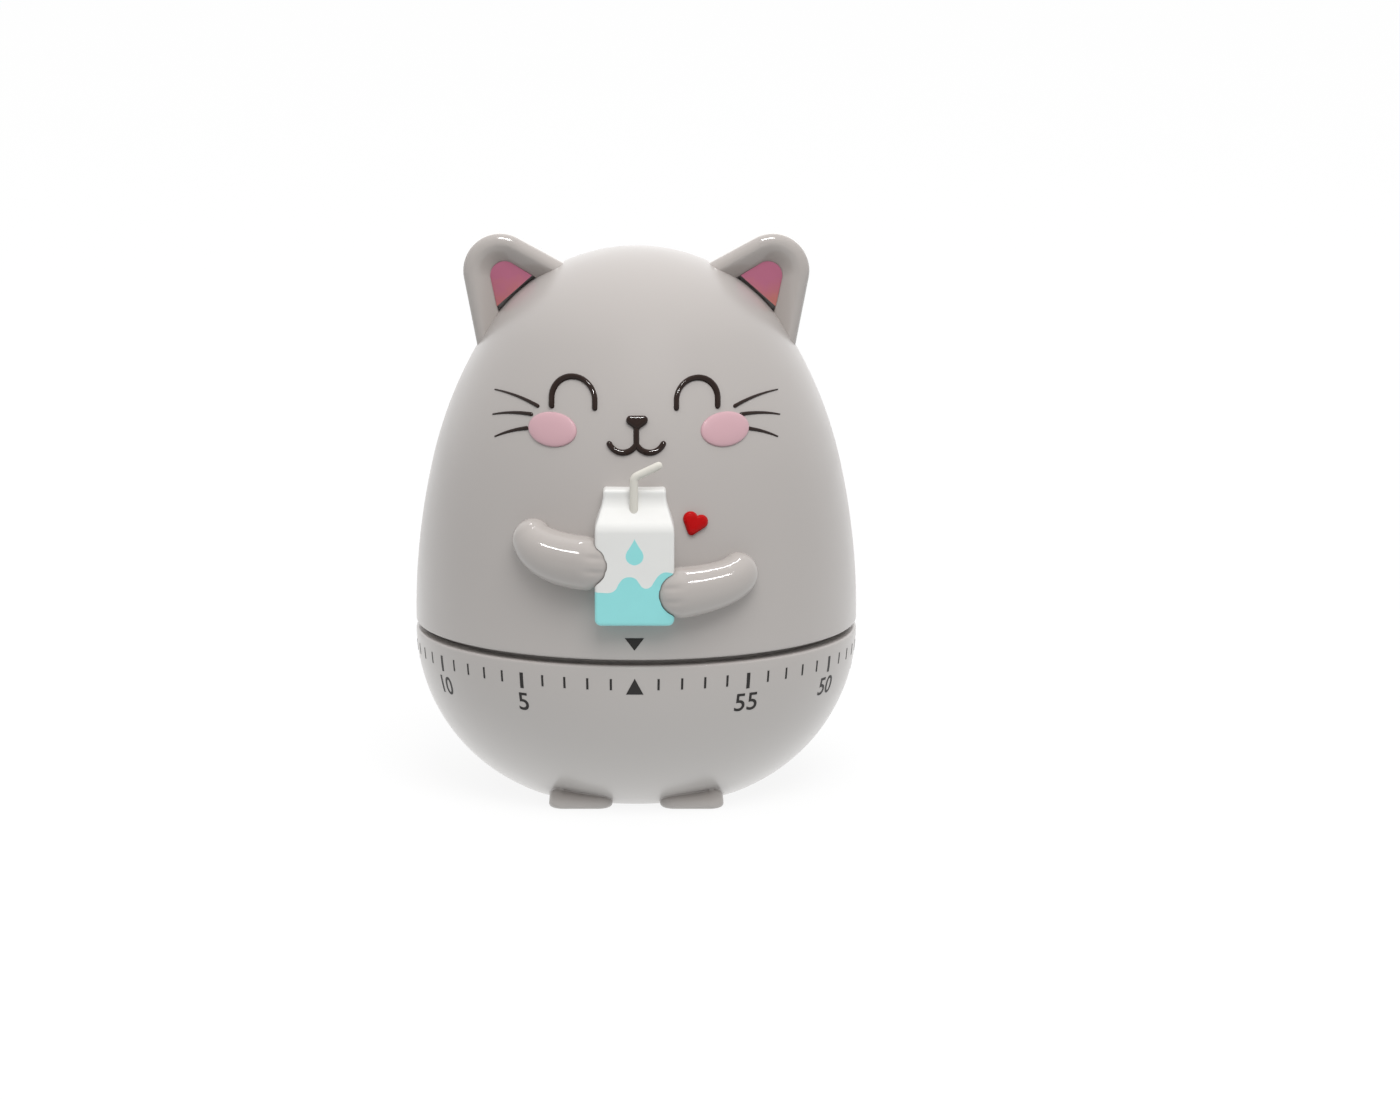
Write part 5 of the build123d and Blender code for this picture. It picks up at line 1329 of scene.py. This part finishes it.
def join(bm, other):
    """Add one drawing to another."""
    mesh = bpy.data.meshes.new("passing")
    other.to_mesh(mesh)
    other.free()
    bm.from_mesh(mesh)
    bpy.data.meshes.remove(mesh)


def slice_flat(bm, step):
    """Cut a flat drawing into strips, so that it can bend."""
    for axis in (Vector((1, 0, 0)), Vector((0, 0, 1))):
        spots = [vert.co.dot(axis) for vert in bm.verts]
        low, high = min(spots), max(spots)
        for cut in range(1, int((high - low) / step) + 1):
            geom = bm.verts[:] + bm.edges[:] + bm.faces[:]
            bmesh.ops.bisect_plane(bm, geom=geom, plane_co=axis * (low + cut * step), plane_no=axis)


def thicken(bm):
    """Give a flat drawing the thickness of ink, half of it sunk into the surface."""
    grown = bmesh.ops.extrude_face_region(bm, geom=bm.faces[:])["geom"]
    bmesh.ops.translate(bm, vec=(0, INK_T, 0), verts=bm.verts[:])
    fresh = [g for g in grown if isinstance(g, bmesh.types.BMVert)]
    bmesh.ops.translate(bm, vec=(0, -2 * INK_T, 0), verts=fresh)


print("film of ink in mm:", INK_T)

# %% [markdown]
# Three kinds of marks are printed: bars, triangles and numbers. The numbers come from Blender's own font,
# turned into a mesh, because a font curve can't be bent over a bowl. Their strokes are made a little
# bolder, as ink spreads.

# %% Marks
STRIP, FINE_STRIP, FONT_MERGE, NUMBER_BOLD = 0.5, 0.35, 0.0001, 0.006


def bar_mark(width, low, high):
    """Flat upright bar, cut so that it can bend."""
    bm = bmesh.new()
    square = bmesh.ops.create_grid(bm, x_segments=1, y_segments=1, size=0.5)["verts"]
    bmesh.ops.rotate(bm, cent=(0, 0, 0), matrix=UPRIGHT, verts=square)
    bmesh.ops.scale(bm, vec=(width, 1, high - low), verts=square)
    bmesh.ops.translate(bm, vec=(0, 0, (high + low) / 2), verts=square)
    slice_flat(bm, STRIP)
    thicken(bm)
    return bm


def triangle_mark(half_w, flat_z, tip_z):
    """Flat pointer with a level side and a tip."""
    bm = bmesh.new()
    corners = ((-half_w, 0, flat_z), (half_w, 0, flat_z), (0, 0, tip_z))
    bm.faces.new([bm.verts.new(corner) for corner in corners])
    slice_flat(bm, FINE_STRIP)
    thicken(bm)
    return bm


def number_mark(words, height, stretch, top):
    """Flat number of a given height, made a little wider, hanging from a level."""
    curve = bpy.data.curves.new("number", "FONT")
    curve.body = words
    curve.align_x = "CENTER"
    curve.offset = NUMBER_BOLD
    text = bpy.data.objects.new("number", curve)
    mesh = bpy.data.meshes.new_from_object(text)
    bpy.data.objects.remove(text)
    bm = bmesh.new()
    bm.from_mesh(mesh)
    bmesh.ops.remove_doubles(bm, verts=bm.verts[:], dist=FONT_MERGE)
    low, high = min(v.co.y for v in bm.verts), max(v.co.y for v in bm.verts)
    size = height / (high - low)
    bmesh.ops.translate(bm, vec=(0, -high, 0), verts=bm.verts[:])
    bmesh.ops.scale(bm, vec=(size * stretch, size, 1), verts=bm.verts[:])
    bmesh.ops.rotate(bm, cent=(0, 0, 0), matrix=UPRIGHT, verts=bm.verts[:])
    bmesh.ops.translate(bm, vec=(0, 0, top), verts=bm.verts[:])
    slice_flat(bm, STRIP)
    thicken(bm)
    return bm


print("strips of a mark in mm:", STRIP)

# %% [markdown]
# A turn of the head is an hour, so a minute is six degrees. Every fifth minute has a longer tick and a
# number, and zero has a triangle. Ticks and numbers are two pieces, as they would be two passes of a
# printing pad.

# %% Minute scale
TICK_W, TICK_LOW, TICK_HIGH = 0.32, 19.95, 21.6
FIVE_W, FIVE_LOW, FIVE_HIGH = 0.55, 19.36, 21.67
NUMBER_TOP, NUMBER_H, NUMBER_STRETCH = 18.65, 2.65, 1.08
# Half width, height of the level side, height of the tip
ZERO_MARK = (1.24, 19.34, 21.7)

ticks = bmesh.new()
numbers = bmesh.new()
for minute in range(1, 60):
    five = minute % 5 == 0
    mark = bar_mark(FIVE_W, FIVE_LOW, FIVE_HIGH) if five else bar_mark(TICK_W, TICK_LOW, TICK_HIGH)
    lay_on_bowl(mark, minute)
    join(ticks, mark)
    if five:
        mark = number_mark(str(minute), NUMBER_H, NUMBER_STRETCH, NUMBER_TOP)
        lay_on_bowl(mark, minute)
        join(numbers, mark)
mark = triangle_mark(*ZERO_MARK)
lay_on_bowl(mark, 0)
join(ticks, mark)
wear(settle(ticks, "minute_ticks"), "base", "face_brown", finish=ink)
wear(settle(numbers, "minute_numbers"), "base", "face_brown", finish=ink)

# %% [markdown]
# A second triangle, on the head, points down at the scale and shows the minutes that are left. It is laid
# on the egg like the face, so it turns with the head.

# %% Pointer of the head
HEAD_MARK, HEAD_MARK_X = (1.38, 27.55, 25.75), -0.26

pointer = triangle_mark(*HEAD_MARK)
bmesh.ops.translate(pointer, vec=(HEAD_MARK_X, 0, 0), verts=pointer.verts[:])
lay_on_head(pointer)
wear(settle(pointer, "head_pointer"), "head", "face_brown", finish=ink)

# %% [markdown]
# ## Glints
#
# Polished plastic and wet-looking paint show each lamp as a small hard white mark. Marks like these tell
# the eye how smooth a surface is. The lamps for them are bright and small, so they are linked to the
# polished pieces alone and left out of the soft light: they appear in reflections and nowhere else.

# %% Glints
STROKES = ("smiling_eyes", "nose_and_smile", "long_whiskers")
PINKS = ("rosy_cheeks", "red_heart")
EARS = ("cat_ear_left", "cat_ear_right")
# Name, place and size in metres, power in watts, pieces that show it
GLINTS = (
    ("face_lamp_low", (0.0, -0.50, 0.70), 0.2, 0.04, 10.0, STROKES),
    ("face_lamp_high", (0.0, -0.30, 0.85), 0.2, 0.04, 6.0, STROKES),
    ("cheek_lamp", (0.0, -0.40, 0.78), 0.14, 0.035, 0.5, PINKS),
    ("ear_lamp", (0.0, -0.42, 0.83), 0.3, 0.15, 7.0, EARS),
    ("arm_lamp_left", (-0.54, -0.41, 0.64), 0.42, 0.05, 2.6, ("cat_arm_left",)),
    ("arm_lamp_right", (0.52, -0.38, 0.61), 0.28, 0.05, 1.8, ("cat_arm_right",)),
    ("arm_lamp_back_left", (-0.22, 0.14, 0.88), 0.18, 0.04, 0.7, ("cat_arm_left",)),
    ("arm_lamp_back_right", (0.28, 0.14, 0.88), 0.1, 0.04, 0.35, ("cat_arm_right",)),
)

for name, place, long, wide, power, pieces in GLINTS:
    made = lamp(name, place, long, wide, power)
    made.visible_diffuse = False
    lit = bpy.data.collections.new(name)
    for piece in pieces:
        lit.objects.link(bpy.data.objects[piece])
    made.light_linking.receiver_collection = lit
print("glint lamps:", len(GLINTS))

# %% [markdown]
# ## The movement inside
#
# Plates, wheels, springs, bell and hammer are hidden by the shells, but they are real pieces of the
# timer. Their CAD shapes are right as they are. Each takes the finish that the record names for it.

# %% Movement finishes
shown = [row for row in frame["record"]["subparts"] if not frame["nodes"][row["node"]].hide_render]
for row in shown:
    materials = frame["nodes"][row["node"]].data.materials
    materials.clear()
    materials.append(FINISHES[row["material_slot"]])
print("CAD pieces kept:", ", ".join(row["node"] for row in shown))
